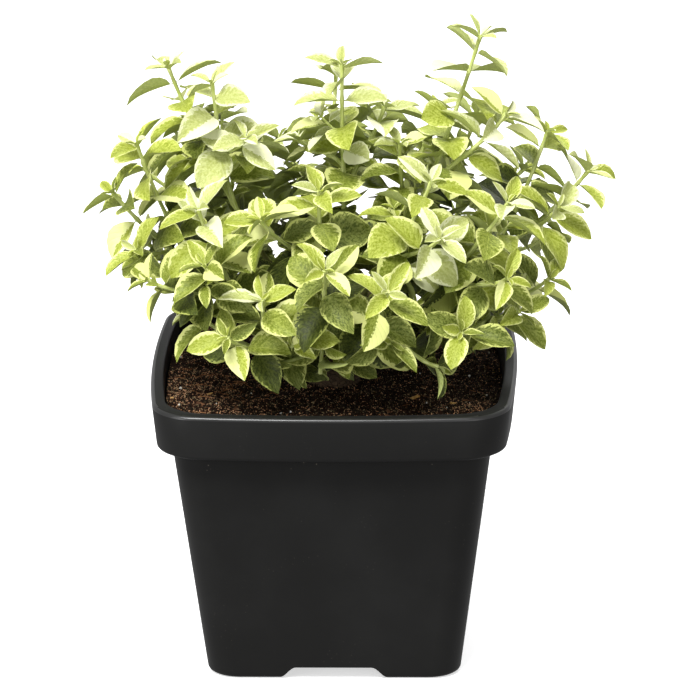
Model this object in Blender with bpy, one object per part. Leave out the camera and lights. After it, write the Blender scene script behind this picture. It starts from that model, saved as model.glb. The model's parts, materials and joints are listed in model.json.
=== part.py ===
"""A variegated wintercreeper euonymus growing in a square nursery pot.

Metres, +Z up. The pot stands on z = 0 with its middle on the Z axis, and its photographed front faces -Y.
A short woody crown in the middle of the soil carries one bough for each mass of foliage. A mass is one solid:
a stem that goes on from its bough, side shoots, and pairs of leaves set crosswise along them up to a rosette.
"""

import math
import random

import bmesh
import bpy
from mathutils import Matrix, Vector
from mathutils.bvhtree import BVHTree
from mathutils.kdtree import KDTree

MM = 0.001
GAP = 0.3 * MM  # left between neighbouring solids
UP = Vector((0, 0, 1))

# The pot, measured across the middles of its sides. The collar's sides bow outwards, the body's are straight.
RIM_WIDTH = 160 * MM
POT_HEIGHT = 128.6 * MM
SIDE_BOW = 4.5 * MM
SIDE_STEPS = 4
RIM_CORNER_RADIUS = 17.5 * MM
BASE_CORNER_RADIUS = 13 * MM
CORNER_STEPS = 4
COLLAR_HEIGHT = 20.6 * MM
COLLAR_FOOT_WIDTH = 156.6 * MM
COLLAR_FOOT_ROUNDING = 2 * MM
LIP_WIDTH = 5.5 * MM
LIP_ROUNDING = 1.6 * MM
BODY_TOP_WIDTH = 138 * MM
BASE_WIDTH = 111 * MM
BASE_ROUNDING = 3 * MM
CORNER_CUT = 1 - math.sqrt(0.5)  # of a rounding: how far the middle of its arc lies in from the sharp edge
WALL = 2 * MM
FLOOR = 7.4 * MM

# The four shallow arches under the pot's sides, and the drain holes at their inner ends.
ARCH_HEIGHT = 5.5 * MM
ARCH_TOP_WIDTH = 33 * MM
ARCH_FOOT_WIDTH = 49 * MM
ARCH_INNER_END = 19 * MM
DRAIN_RADIUS = 4.5 * MM
DRAIN_FROM_AXIS = 27 * MM
DRAIN_SIDES = 16
CUTTER_OVERRUN = 2 * MM  # how far a cutter goes past what it cuts

# The potting soil: level at the crown, banked up to the left and sunk at the right and the back.
SOIL_LEVEL = 120 * MM
SOIL_FLAT_RADIUS = 17 * MM
SOIL_SLOPE_REACH = 34 * MM
SOIL_LEFT_RISE = 2.2 * MM
SOIL_BACK_DIP = 3.2 * MM
SOIL_RING_SHARES = (0.93, 0.78, 0.6, 0.42, 0.25)

# The woody crown, as radius and height over the soil: twelve seats face out from its shoulder, and seven
# face up from its head, which starts inside the shoulder.
SHOULDER_RINGS = ((12.5 * MM, 0), (10.9 * MM, 3.5 * MM), (10.5 * MM, 5 * MM), (6.5 * MM, 9 * MM))
HEAD_RINGS = ((5.6 * MM, 7 * MM), (5.6 * MM, 11 * MM), (2 * MM, 13.1 * MM))
SEATS = {"outer": 12, "upper": 7}

# Limbs and twigs.
BOUGH_FOOT_RADIUS = {"outer": 1.5 * MM, "upper": 1.25 * MM}
BOUGH_TIP_RADIUS = 1.0 * MM
BOUGH_SHARE = 0.42  # of the way from the crown to the lead shoot's tip
BOUGH_SEGMENTS = 4
STEM_TIP_RADIUS = 0.75 * MM
SHOOT_FOOT_RADIUS = 0.9 * MM
TWIG_SEGMENT = 22 * MM
TWIG_HALF_WIDTH = 1.2  # of the radius, so that a three-sided twig is about as stout as a round one
TWIG_DEPTH = 2.1
FIRST_SHOOT_SHARE = 0.10
NEXT_SHOOT_SHARE = 0.13
HANDLE_SHARE = 0.36
UPTURN = 0.35  # how far a shoot's tip turns up from the way that the shoot reaches
LENGTH_STEPS = 24

# Leaves.
LEAF_LENGTH = 23 * MM
LEAF_WIDTH = 12.5 * MM
LEAF_SECTIONS = (  # share of the length, share of the width, depth from the flat top to the keel
    (0, 0, 0.5 * MM),
    (0.38, 1, 0.9 * MM),
    (0.7, 0.8, 0.6 * MM),
    (1, 0, 0.3 * MM),
)
LEAF_ROOT_HALF_WIDTH = 0.34 * MM
LEAF_ROOT_SINK = 0.1 * MM
LEAF_DROOP = 0.16
LEAF_TWIST = 0.35  # how far leaves turn from facing along their stem to facing up
ROSETTE_STEPS = (1.6 * MM, 7 * MM, 15 * MM)  # back from the shoot's tip
ROSETTE_SIZES = (0.74, 0.96, 1.02)
ROSETTE_ANGLES = (50, 68, 76)
NODE_SPACING = 16 * MM
SPACING_RANGE = (0.85, 1.15)
LOWER_LEAF_ANGLE = 80
LOWER_LEAF_SIZES = (0.92, 1.12)
TURN_RANGE = (-0.2, 0.2)
ANGLE_RANGE = (-6, 6)
BARE_FOOT = 7 * MM
LEAF_TRIES = ((0, 1), (0.4, 1), (-0.4, 1), (0, 0.8), (0.6, 0.8), (-0.6, 0.8))  # more turn, share of the size
LEAF_CLEARANCE = 0.2 * MM
SPACE_CLEARANCE = 0.3 * MM
POT_CLEARANCE = 1.2 * MM
OWNER_SPACING = 5 * MM

# Each mass of foliage: the tier of crown seats that its bough grows from, then the middle of the rosette
# at the tip of each of its shoots, as x, y and height in millimetres, the lead shoot first.
FOLIAGE = {
    "left_tall": ("upper", (-72, 15, 258), (-52, -6, 257), (-37, -16, 235)),
    "left_far": ("outer", (-96, -2, 206), (-85, -8, 230), (-85, -22, 186)),
    "left_front": ("outer", (-54, -58, 191), (-57, -42, 211), (-79, -42, 179)),
    "left_low": ("outer", (-44, -66, 161), (-29, -66, 178), (-59, -34, 162)),
    "centre_left": ("upper", (-5, -42, 219), (-30, -48, 208)),
    "front_centre": ("outer", (-2, -72, 193), (-17, -60, 155), (-5, -46, 138)),
    "front_right": ("outer", (25, -76, 185), (26, -64, 158), (46, -52, 143)),
    "centre_right": ("upper", (43, -38, 222), (47, -58, 203)),
    "right_tall": ("upper", (64, 5, 275), (75, -10, 244), (54, 8, 221)),
    "centre_tall": ("upper", (4, 4, 262), (22, 18, 239), (-16, 12, 226)),
    "upper_right": ("upper", (44, 30, 236), (29, -2, 228)),
    "right_far": ("outer", (111, 2, 215), (93, 10, 230), (98, -16, 204)),
    "right_front": ("outer", (76, -42, 214), (76, -58, 185)),
    "right_low": ("outer", (94, -24, 174), (81, -42, 165), (56, -68, 164)),
    "back_left": ("outer", (-65, 60, 220), (-85, 38, 205), (-42, 78, 203)),
    "back_centre": ("upper", (0, 50, 245), (-26, 60, 212), (12, 80, 220)),
    "back_right": ("outer", (62, 62, 222), (83, 40, 204), (37, 82, 200)),
    "back_low_left": ("outer", (-52, 88, 170), (-83, 30, 172), (-18, 92, 184), (-78, 62, 158)),
    "back_low_right": ("outer", (53, 88, 168), (91, 44, 170), (15, 94, 158), (77, 66, 156)),
}

POT_COLOUR = (0.016, 0.016, 0.017)
SOIL_COLOUR = (0.035, 0.018, 0.010)
WOOD_COLOUR = (0.17, 0.115, 0.06)
BOUGH_COLOUR = (0.24, 0.25, 0.09)
LEAF_COLOUR = (0.36, 0.46, 0.16)


def clear_the_scene():
    for thing in list(bpy.data.objects):
        bpy.data.objects.remove(thing)


def new_collection(name):
    made = bpy.data.collections.new(name)
    bpy.context.scene.collection.children.link(made)
    return made


def new_material(name, colour, roughness):
    made = bpy.data.materials.new(name)
    made.use_nodes = True
    shader = made.node_tree.nodes["Principled BSDF"]
    shader.inputs["Base Color"].default_value = (*colour, 1.0)
    shader.inputs["Roughness"].default_value = roughness
    shader.inputs["Metallic"].default_value = 0.0
    return made


def new_object(name, bm, collection, material=None):
    """Puts a bmesh in a named object, with its faces pointing outwards."""
    bmesh.ops.recalc_face_normals(bm, faces=bm.faces)
    mesh = bpy.data.meshes.new(name)
    bm.to_mesh(mesh)
    bm.free()
    if material:
        mesh.materials.append(material)
    made = bpy.data.objects.new(name, mesh)
    collection.objects.link(made)
    return made


def apply_modifiers(thing):
    """Makes what the modifiers show the object's own mesh."""
    graph = bpy.context.evaluated_depsgraph_get()
    mesh = bpy.data.meshes.new_from_object(thing.evaluated_get(graph))
    thing.modifiers.clear()
    thing.data = mesh


# Square rings, for the pot and its soil.


def corner_radius(half_width):
    """The radius of a ring's corners, which grows evenly with its width from the base to the rim."""
    share = (half_width - BASE_WIDTH / 2) / (RIM_WIDTH / 2 - BASE_WIDTH / 2)
    return BASE_CORNER_RADIUS + (RIM_CORNER_RADIUS - BASE_CORNER_RADIUS) * share


def ring_places(half_width, height):
    """The points of a square ring with round corners, in order. The sides bow where it is wider than the body."""
    radius = corner_radius(half_width)
    straight = half_width - radius
    quarter = []
    for step in range(CORNER_STEPS + 1):
        turn = math.pi / 2 * step / CORNER_STEPS
        quarter.append((straight + radius * math.cos(turn), straight + radius * math.sin(turn)))
    for step in range(1, SIDE_STEPS):
        quarter.append((straight * (1 - 2 * step / SIDE_STEPS), half_width))
    bow = SIDE_BOW if half_width > BODY_TOP_WIDTH / 2 else 0
    pull = bow / half_width**3
    places = []
    for side in range(4):
        turned = Matrix.Rotation(side * math.pi / 2, 3, "Z")
        for x, y in quarter:
            places.append(turned @ Vector((x * (1 - pull * y**2), y * (1 - pull * x**2), height)))
    return places


def ring_face(bm, half_width, height):
    """One flat face that fills a ring."""
    return bm.faces.new([bm.verts.new(place) for place in ring_places(half_width, height)])


def extruded(bm, face):
    """Extrudes a face and returns the new one. A face that stands alone stays, as the foot of the solid."""
    alone = all(len(edge.link_faces) == 1 for edge in face.edges)
    made = bmesh.ops.extrude_face_region(bm, geom=[face])["geom"]
    if not alone:
        bmesh.ops.delete(bm, geom=[face], context="FACES_ONLY")
    return next(item for item in made if isinstance(item, bmesh.types.BMFace))


def extruded_ring(bm, face, half_width, height):
    """Extrudes the face to a new half width and height, and returns the new face."""
    new_face = extruded(bm, face)
    for vert, place in zip(new_face.verts, ring_places(half_width, height)):
        vert.co = place
    return new_face


def body_half_width(height):
    """Half the body's outer width, which grows evenly from the base to the collar."""
    share = height / (POT_HEIGHT - COLLAR_HEIGHT)
    return (BASE_WIDTH + (BODY_TOP_WIDTH - BASE_WIDTH) * share) / 2


def collar_half_width(height):
    """Half the collar's outer width, which grows evenly from its foot to the rim."""
    share = (height - POT_HEIGHT + COLLAR_HEIGHT) / COLLAR_HEIGHT
    return (COLLAR_FOOT_WIDTH + (RIM_WIDTH - COLLAR_FOOT_WIDTH) * share) / 2


def pot_profile():
    """Half widths and heights round the wall: up the outside, over the lip and down the inside."""
    foot = POT_HEIGHT - COLLAR_HEIGHT
    foot_edge = foot + COLLAR_FOOT_ROUNDING
    lip_edge = POT_HEIGHT - LIP_ROUNDING
    shelf = foot + WALL
    rim = RIM_WIDTH / 2
    inner_rim = rim - LIP_WIDTH
    inner_collar = collar_half_width(shelf) - LIP_WIDTH
    base_cut = BASE_ROUNDING * CORNER_CUT
    foot_cut = COLLAR_FOOT_ROUNDING * CORNER_CUT
    lip_cut = LIP_ROUNDING * CORNER_CUT
    return (
        (body_half_width(0) - base_cut, base_cut),
        (body_half_width(BASE_ROUNDING), BASE_ROUNDING),
        (BODY_TOP_WIDTH / 2, foot),
        (COLLAR_FOOT_WIDTH / 2 - COLLAR_FOOT_ROUNDING, foot),
        (COLLAR_FOOT_WIDTH / 2 - foot_cut, foot + foot_cut),
        (collar_half_width(foot_edge), foot_edge),
        (collar_half_width(lip_edge), lip_edge),
        (rim - lip_cut, POT_HEIGHT - lip_cut),
        (rim - LIP_ROUNDING, POT_HEIGHT),
        (inner_rim + LIP_ROUNDING / 2, POT_HEIGHT),
        (inner_rim, POT_HEIGHT - LIP_ROUNDING / 2),
        (inner_collar, shelf),
        (body_half_width(shelf) - WALL, shelf),
        (body_half_width(FLOOR) - WALL, FLOOR),
    )


def inner_half_width(height):
    """Half the width of the room inside the pot."""
    shelf = POT_HEIGHT - COLLAR_HEIGHT + WALL
    wall = WALL if height <= shelf else LIP_WIDTH
    outer = body_half_width(height) if height <= shelf else collar_half_width(height)
    return outer - wall


def arch_cutter(turn, cutters):
    """A bar with sloping ends that hollows the underside from one side towards the middle."""
    bm = bmesh.new()
    length = BASE_WIDTH / 2 + CUTTER_OVERRUN - ARCH_INNER_END
    bmesh.ops.create_cube(bm, size=1)
    bmesh.ops.scale(bm, vec=(1, length, ARCH_HEIGHT + CUTTER_OVERRUN), verts=bm.verts)
    middle = Vector((0, -ARCH_INNER_END - length / 2, (ARCH_HEIGHT - CUTTER_OVERRUN) / 2))
    bmesh.ops.translate(bm, vec=middle, verts=bm.verts)
    slope = (ARCH_FOOT_WIDTH - ARCH_TOP_WIDTH) / ARCH_HEIGHT
    for vert in bm.verts:
        depth_under_top = ARCH_HEIGHT - vert.co.z
        vert.co.x = math.copysign((ARCH_TOP_WIDTH + slope * depth_under_top) / 2, vert.co.x)
    bmesh.ops.rotate(bm, matrix=Matrix.Rotation(turn, 3, "Z"), verts=bm.verts)
    return new_cutter("arch cutter", bm, cutters)


def drain_cutter(turn, cutters):
    """A round hole through the thin floor over an arch."""
    bm = bmesh.new()
    bmesh.ops.create_cone(
        bm, cap_ends=True, segments=DRAIN_SIDES, radius1=DRAIN_RADIUS, radius2=DRAIN_RADIUS,
        depth=FLOOR + 2 * CUTTER_OVERRUN,
    )
    bmesh.ops.translate(bm, vec=(0, -DRAIN_FROM_AXIS, FLOOR / 2), verts=bm.verts)
    bmesh.ops.rotate(bm, matrix=Matrix.Rotation(turn, 3, "Z"), verts=bm.verts)
    return new_cutter("drain cutter", bm, cutters)


def new_cutter(name, bm, cutters):
    made = new_object(name, bm, cutters)
    made.hide_render = True
    made.display_type = "WIRE"
    return made


def make_pot(parts, cutters):
    """The plastic pot: one wall turned over a stepped collar, on a floor with arches and drain holes."""
    bm = bmesh.new()
    face = ring_face(bm, body_half_width(0) - BASE_ROUNDING, 0)
    for half_width, height in pot_profile():
        face = extruded_ring(bm, face, half_width, height)
    pot = new_object("pot", bm, parts, new_material("satin black plastic", POT_COLOUR, 0.42))
    for side in range(4):
        for make_cutter in (arch_cutter, drain_cutter):
            cut = pot.modifiers.new("underside", "BOOLEAN")
            cut.operation = "DIFFERENCE"
            cut.object = make_cutter(side * math.pi / 2, cutters)
    return pot


def soil_height(x, y):
    """Height of the soil's surface at a point."""
    reach = (math.hypot(x, y) - SOIL_FLAT_RADIUS) / SOIL_SLOPE_REACH
    share = min(max(reach, 0), 1)
    half = RIM_WIDTH / 2
    left = SOIL_LEFT_RISE * -x / half
    back = SOIL_BACK_DIP * (x + y) / (2 * half) if x + y > 0 else 0
    return SOIL_LEVEL + share * (left - back)


def make_soil(parts):
    """The potting soil that fills the pot to a little under its rim."""
    bm = bmesh.new()
    shelf = POT_HEIGHT - COLLAR_HEIGHT + WALL
    bottom = FLOOR + GAP
    face = ring_face(bm, inner_half_width(bottom) - GAP, bottom)
    face = extruded_ring(bm, face, inner_half_width(shelf) - GAP, shelf + GAP)
    face = extruded_ring(bm, face, collar_half_width(shelf) - LIP_WIDTH - GAP, shelf + GAP)
    edge = ring_places(inner_half_width(SOIL_LEVEL - SOIL_BACK_DIP) - GAP, SOIL_LEVEL)
    for share in (1, *SOIL_RING_SHARES):
        face = extruded(bm, face)
        for vert, place in zip(face.verts, edge):
            x = place.x * share
            y = place.y * share
            vert.co = (x, y, soil_height(x, y))
    return new_object("potting_soil", bm, parts, new_material("moist potting soil", SOIL_COLOUR, 0.95))


# The crown, and the seats that boughs grow from.


def extruded_polygon(bm, sides, rings):
    """A closed solid over regular polygons given by radius and height."""
    radius, height = rings[0]
    bmesh.ops.create_circle(
        bm, cap_ends=True, segments=sides, radius=radius, matrix=Matrix.Translation((0, 0, height))
    )
    face = next(iter(bm.faces))
    for radius, height in rings[1:]:
        face = extruded(bm, face)
        for vert in face.verts:
            flat = Vector((vert.co.x, vert.co.y, 0)).normalized() * radius
            vert.co = flat + UP * height


def over_soil(rings):
    """The same rings, with their heights taken from the pot's underside."""
    return [(radius, SOIL_LEVEL + GAP + height) for radius, height in rings]


def seats_on(sides, rings):
    """Middle and outward normal of each sloping facet between the last two rings."""
    lower, upper = over_soil(rings)[-2:]
    seats = []
    half_turn = math.pi / sides
    for index in range(sides):
        turn = half_turn * (2 * index + 1)
        outward = Vector((math.cos(turn), math.sin(turn), 0))
        low = outward * lower[0] * math.cos(half_turn) + UP * lower[1]
        high = outward * upper[0] * math.cos(half_turn) + UP * upper[1]
        along = (high - low).normalized()
        side = UP.cross(outward)
        seats.append(((low + high) / 2, along.cross(side) * -1))
    return seats


def make_crown(parts):
    """The short woody crown that every bough grows from."""
    material = new_material("woody crown", WOOD_COLOUR, 0.85)
    bm = bmesh.new()
    extruded_polygon(bm, SEATS["outer"], over_soil(SHOULDER_RINGS))
    crown = new_object("crown", bm, parts, material)
    bm = bmesh.new()
    extruded_polygon(bm, SEATS["upper"], over_soil(HEAD_RINGS))
    head = new_object("crown head", bm, parts, material)
    join = crown.modifiers.new("head", "BOOLEAN")
    join.operation = "UNION"
    join.object = head
    bpy.context.view_layer.update()
    apply_modifiers(crown)
    bpy.data.objects.remove(head)
    return crown


# Shoots: curved paths that start on the crown or on another shoot and end in a rosette.


class Path:
    """A cubic curve from a foot to a tip, sampled by its share of the way."""

    def __init__(self, foot, foot_direction, tip, tip_direction):
        handle = (tip - foot).length * HANDLE_SHARE
        self.points = (foot, foot + foot_direction * handle, tip - tip_direction * handle, tip)
        self.length = self.measured_length()

    def at(self, share):
        a, b, c, d = self.points
        rest = 1 - share
        return a * rest**3 + b * (3 * rest**2 * share) + c * (3 * rest * share**2) + d * share**3

    def direction(self, share):
        a, b, c, d = self.points
        rest = 1 - share
        slope = (b - a) * rest**2 + (c - b) * (2 * rest * share) + (d - c) * share**2
        return slope.normalized()

    def across(self):
        """A level direction across the way that the path reaches."""
        reach = self.points[-1] - self.points[0]
        return reach.cross(UP).normalized()

    def measured_length(self):
        places = [self.at(step / LENGTH_STEPS) for step in range(LENGTH_STEPS + 1)]
        return sum((b - a).length for a, b in zip(places, places[1:]))


class Shoot:
    """A stretch of a path that carries leaves, with its radius at each end."""

    def __init__(self, name, path, start, foot_radius, tip_radius):
        self.name = name
        self.path = path
        self.start = start
        self.foot_radius = foot_radius
        self.tip_radius = tip_radius
        self.length = path.length * (1 - start)

    def share(self, back_from_tip):
        """The path's share at a distance back from the tip."""
        return 1 - back_from_tip / self.path.length

    def radius(self, share):
        along = (share - self.start) / (1 - self.start)
        return self.foot_radius + (self.tip_radius - self.foot_radius) * along

    def samples(self, spacing):
        count = max(2, round(self.length / spacing))
        return [self.start + (1 - self.start) * step / count for step in range(count + 1)]


def tip_direction(foot, tip):
    """Shoots lean the way they reach and turn up towards the light at their tips."""
    lean = (tip - foot).normalized()
    return (lean + UP * UPTURN).normalized()


def matched_seats(names, seats):
    """Gives each named mass a seat: both in order round the axis, turned to the best match."""
    def turn_of(point):
        return math.atan2(point.y, point.x)

    tips = {name: Vector(FOLIAGE[name][1]) for name in names}
    names = sorted(names, key=lambda name: turn_of(tips[name]))
    seats = sorted(seats, key=lambda seat: turn_of(seat[0]))

    def misfit(shift):
        total = 0
        for index, name in enumerate(names):
            seat = seats[(index + shift) % len(seats)]
            total += 1 - math.cos(turn_of(tips[name]) - turn_of(seat[0]))
        return total

    best = min(range(len(seats)), key=misfit)
    return {name: seats[(index + best) % len(seats)] for index, name in enumerate(names)}


def planned_shoots():
    """For each mass, its bough's path and the shoots inside it."""
    plan = {}
    for tier, rings in (("outer", SHOULDER_RINGS), ("upper", HEAD_RINGS)):
        names = [name for name, entry in FOLIAGE.items() if entry[0] == tier]
        for name, (seat, normal) in matched_seats(names, seats_on(SEATS[tier], rings)).items():
            foot = seat + normal * GAP
            tips = [Vector(tip) * MM for tip in FOLIAGE[name][1:]]
            lead_path = Path(foot, normal, tips[0], tip_direction(foot, tips[0]))
            start = BOUGH_SHARE + GAP / lead_path.length
            shoots = [Shoot(f"{name} 0", lead_path, start, BOUGH_TIP_RADIUS, STEM_TIP_RADIUS)]
            for index, tip in enumerate(tips[1:]):
                branch = BOUGH_SHARE + FIRST_SHOOT_SHARE + index * NEXT_SHOOT_SHARE
                origin = lead_path.at(branch)
                set_off = (lead_path.direction(branch) + (tip - origin).normalized()).normalized()
                path = Path(origin, set_off, tip, tip_direction(origin, tip))
                shoots.append(Shoot(f"{name} {index + 1}", path, 0, SHOOT_FOOT_RADIUS, STEM_TIP_RADIUS))
            plan[name] = (tier, lead_path, shoots)
    return plan


def make_bough(name, tier, path, parts, material):
    """One tapering limb from its seat on the crown to where it enters its mass."""
    curve = bpy.data.curves.new("bough_" + name, "CURVE")
    curve.dimensions = "3D"
    curve.bevel_depth = 1
    curve.bevel_resolution = 1
    curve.use_fill_caps = True
    spline = curve.splines.new("POLY")
    spline.points.add(BOUGH_SEGMENTS)
    foot_radius = BOUGH_FOOT_RADIUS[tier]
    for index, point in enumerate(spline.points):
        share = index / BOUGH_SEGMENTS
        point.co = (*path.at(share * BOUGH_SHARE), 1)
        point.radius = foot_radius + (BOUGH_TIP_RADIUS - foot_radius) * share
    curve.materials.append(material)
    bough = bpy.data.objects.new("bough_" + name, curve)
    parts.objects.link(bough)
    return bough


# Three-sided solids: twigs, and leaves with a flat top and a keel.


def frame(place, along, upward):
    """Axes at a place: Y along, Z as near upward as it can be, X across."""
    across = along.cross(upward).normalized()
    top = across.cross(along).normalized()
    return Matrix.Translation(place) @ Matrix((across, along, top)).transposed().to_4x4()


def three_sided_solid(bm, sections, pointed):
    """Extrudes a triangle through sections, each a frame with a half width and a depth below its flat top."""
    face = None
    for axes, half_width, depth in sections:
        corners = (
            axes @ Vector((-half_width, 0, depth / 3)),
            axes @ Vector((half_width, 0, depth / 3)),
            axes @ Vector((0, 0, -depth * 2 / 3)),
        )
        if face is None:
            face = bm.faces.new([bm.verts.new(corner) for corner in corners])
            continue
        face = extruded(bm, face)
        for vert, corner in zip(face.verts, corners):
            vert.co = corner
    if pointed:
        tip = (corners[0] + corners[1]) / 2
        bmesh.ops.pointmerge(bm, verts=face.verts[:], merge_co=tip)


def twig_bmesh(shoot):
    """A shoot's stem as a tapering three-sided rod."""
    bm = bmesh.new()
    sections = []
    across = shoot.path.across()
    for share in shoot.samples(TWIG_SEGMENT):
        radius = shoot.radius(share)
        along = shoot.path.direction(share)
        axes = frame(shoot.path.at(share), along, across.cross(along))
        sections.append((axes, radius * TWIG_HALF_WIDTH, radius * TWIG_DEPTH))
    three_sided_solid(bm, sections, pointed=False)
    return bm


class Leaf:
    """A leaf that starts inside its stem and arches over towards its tip."""

    def __init__(self, root, along, top, size):
        self.root = root - along * LEAF_ROOT_SINK
        self.along = along
        self.top = top
        self.length = LEAF_LENGTH * size + LEAF_ROOT_SINK
        self.width = LEAF_WIDTH * size

    def at(self, share):
        return self.root + (self.along * share - self.top * LEAF_DROOP * share**2) * self.length

    def direction(self, share):
        return (self.along - self.top * 2 * LEAF_DROOP * share).normalized()

    def bmesh(self):
        bm = bmesh.new()
        sections = []
        for share, width_share, depth in LEAF_SECTIONS:
            half_width = max(self.width * width_share / 2, LEAF_ROOT_HALF_WIDTH)
            sections.append((frame(self.at(share), self.direction(share), self.top), half_width, depth))
        three_sided_solid(bm, sections, pointed=True)
        return bm


# Room: what a leaf has to keep clear of.


class Room:
    """The solids already in place, and which mass each part of the crown belongs to."""

    def __init__(self, plan):
        self.solids = []
        self.owners = []
        places = []
        for name, (_, _, shoots) in plan.items():
            for shoot in shoots:
                for share in shoot.samples(OWNER_SPACING):
                    places.append(shoot.path.at(share))
                    self.owners.append(name)
        self.tree = KDTree(len(places))
        for index, place in enumerate(places):
            self.tree.insert(place, index)
        self.tree.balance()

    def add(self, bm, owner):
        places = [vert.co for vert in bm.verts]
        middle = sum(places, Vector()) / len(places)
        reach = max((place - middle).length for place in places)
        tree = BVHTree.FromBMesh(bm, epsilon=LEAF_CLEARANCE)
        self.solids.append((middle, reach, tree, owner))

    def belongs(self, place, name):
        """Whether a place is nearer to this mass's shoots than to any other's."""
        own = self.tree.find(place, filter=lambda index: self.owners[index] == name)[2]
        other = self.tree.find(place, filter=lambda index: self.owners[index] != name)[2]
        return own + SPACE_CLEARANCE < other

    def is_free(self, bm, name, own_owners):
        places = [vert.co for vert in bm.verts]
        places += [(edge.verts[0].co + edge.verts[1].co) / 2 for edge in bm.edges]
        if not all(above_soil_and_rim(place) for place in places):
            return False
        if not all(self.belongs(place, name) for place in places):
            return False
        middle = sum(places, Vector()) / len(places)
        reach = max((place - middle).length for place in places)
        tree = BVHTree.FromBMesh(bm, epsilon=LEAF_CLEARANCE)
        for other_middle, other_reach, other_tree, owner in self.solids:
            if owner in own_owners:
                continue
            if (other_middle - middle).length > reach + other_reach + 2 * LEAF_CLEARANCE:
                continue
            if tree.overlap(other_tree):
                return False
        return True


def above_soil_and_rim(place):
    """Whether a place is over the soil and inside the wall, or over the rim."""
    if place.z > POT_HEIGHT + POT_CLEARANCE:
        return True
    half_width = inner_half_width(SOIL_LEVEL) - SIDE_BOW - POT_CLEARANCE
    radius = corner_radius(half_width)
    out_x = max(abs(place.x) - half_width + radius, 0)
    out_y = max(abs(place.y) - half_width + radius, 0)
    if math.hypot(out_x, out_y) > radius:
        return False
    return place.z > soil_height(place.x, place.y) + POT_CLEARANCE


# Growth: pairs of leaves along each shoot, each pair set crosswise to the one before.


def leaf_nodes(shoot):
    """Distances back from the shoot's tip, with the leaves' size and angle from the stem there."""
    nodes = list(zip(ROSETTE_STEPS, ROSETTE_SIZES, ROSETTE_ANGLES))
    draw = random.Random(shoot.name + " nodes")
    back = ROSETTE_STEPS[-1] + NODE_SPACING * draw.uniform(*SPACING_RANGE)
    while back < shoot.length - BARE_FOOT:
        nodes.append((back, draw.uniform(*LOWER_LEAF_SIZES), LOWER_LEAF_ANGLE))
        back += NODE_SPACING * draw.uniform(*SPACING_RANGE)
    return nodes


def leaf_at(shoot, back, size, angle, turn):
    """A leaf on a shoot: its turn about the stem and its angle from it, twisted a little to face up."""
    share = shoot.share(back)
    axis = shoot.path.direction(share)
    side = Matrix.Rotation(turn, 3, axis) @ axis.orthogonal().normalized()
    lean = math.radians(angle)
    along = side * math.sin(lean) + axis * math.cos(lean)
    top = axis * math.sin(lean) - side * math.cos(lean) + UP * LEAF_TWIST
    top = (top - along * top.dot(along)).normalized()
    return Leaf(shoot.path.at(share), along, top, size)


def grown_leaves(name, shoot, room):
    """The leaves of a shoot that find room, each tried straight and then turned or smaller."""
    draw = random.Random(shoot.name + " turns")
    first_turn = draw.uniform(0, math.pi)
    for index, (back, size, angle) in enumerate(leaf_nodes(shoot)):
        node = f"{shoot.name} node {index}"
        draw = random.Random(node)
        for side in range(2):
            turn = first_turn + index * math.pi / 2 + side * math.pi + draw.uniform(*TURN_RANGE)
            lean = angle + draw.uniform(*ANGLE_RANGE)
            for more_turn, smaller in LEAF_TRIES:
                leaf = leaf_at(shoot, back, size * smaller, lean, turn + more_turn)
                bm = leaf.bmesh()
                if room.is_free(bm, name, (shoot.name, node)):
                    room.add(bm, node)
                    yield leaf
                    bm.free()
                    break
                bm.free()


def shells_of(bm):
    """The faces of a bmesh in sets, one for each surface that hangs together by edges of two faces."""
    left = set(bm.faces)
    shells = []
    while left:
        reached = [left.pop()]
        shell = set(reached)
        while reached:
            for edge in reached.pop().edges:
                if len(edge.link_faces) != 2:
                    continue
                for face in edge.link_faces:
                    if face in left:
                        left.remove(face)
                        shell.add(face)
                        reached.append(face)
        shells.append(shell)
    return shells


def keep_outer_shell(mesh):
    """Drops loose scraps, and the inner surface of any hollow that joining sealed, which fills it."""
    bm = bmesh.new()
    bm.from_mesh(mesh)
    bmesh.ops.triangulate(bm, faces=bm.faces)
    outer = max(shells_of(bm), key=len)
    others = [face for face in bm.faces if face not in outer]
    bmesh.ops.delete(bm, geom=others, context="FACES")
    bm.to_mesh(mesh)
    bm.free()


def make_mass(name, shoots, room, parts, material):
    """One mass: its shoots and their leaves, joined into one solid."""
    pieces = new_collection("pieces")
    for shoot in shoots:
        new_object("twig", twig_bmesh(shoot), pieces)
        for leaf in grown_leaves(name, shoot, room):
            new_object("leaf", leaf.bmesh(), pieces)
    stem = pieces.objects[0]
    pieces.objects.unlink(stem)
    parts.objects.link(stem)
    stem.name = "foliage_" + name
    stem.data.materials.append(material)
    join = stem.modifiers.new("leaves", "BOOLEAN")
    join.operation = "UNION"
    join.operand_type = "COLLECTION"
    join.collection = pieces
    bpy.context.view_layer.update()
    apply_modifiers(stem)
    keep_outer_shell(stem.data)
    for piece in list(pieces.objects):
        bpy.data.objects.remove(piece)
    bpy.data.collections.remove(pieces)
    return stem


def main():
    clear_the_scene()
    parts = new_collection("Wintercreeper euonymus in its pot")
    cutters = new_collection("Cutters")
    make_pot(parts, cutters)
    make_soil(parts)
    make_crown(parts)
    plan = planned_shoots()
    bark = new_material("green bark", BOUGH_COLOUR, 0.6)
    leaf_green = new_material("variegated leaf", LEAF_COLOUR, 0.45)
    room = Room(plan)
    graph = bpy.context.evaluated_depsgraph_get()
    for name, (tier, path, shoots) in plan.items():
        bough = make_bough(name, tier, path, parts, bark)
        bm = bmesh.new()
        bm.from_mesh(bpy.data.meshes.new_from_object(bough.evaluated_get(graph)))
        room.add(bm, "bough " + name)
        bm.free()
        for shoot in shoots:
            bm = twig_bmesh(shoot)
            room.add(bm, shoot.name)
            bm.free()
    for name, (_, _, shoots) in plan.items():
        make_mass(name, shoots, room, parts, leaf_green)


main()
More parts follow.
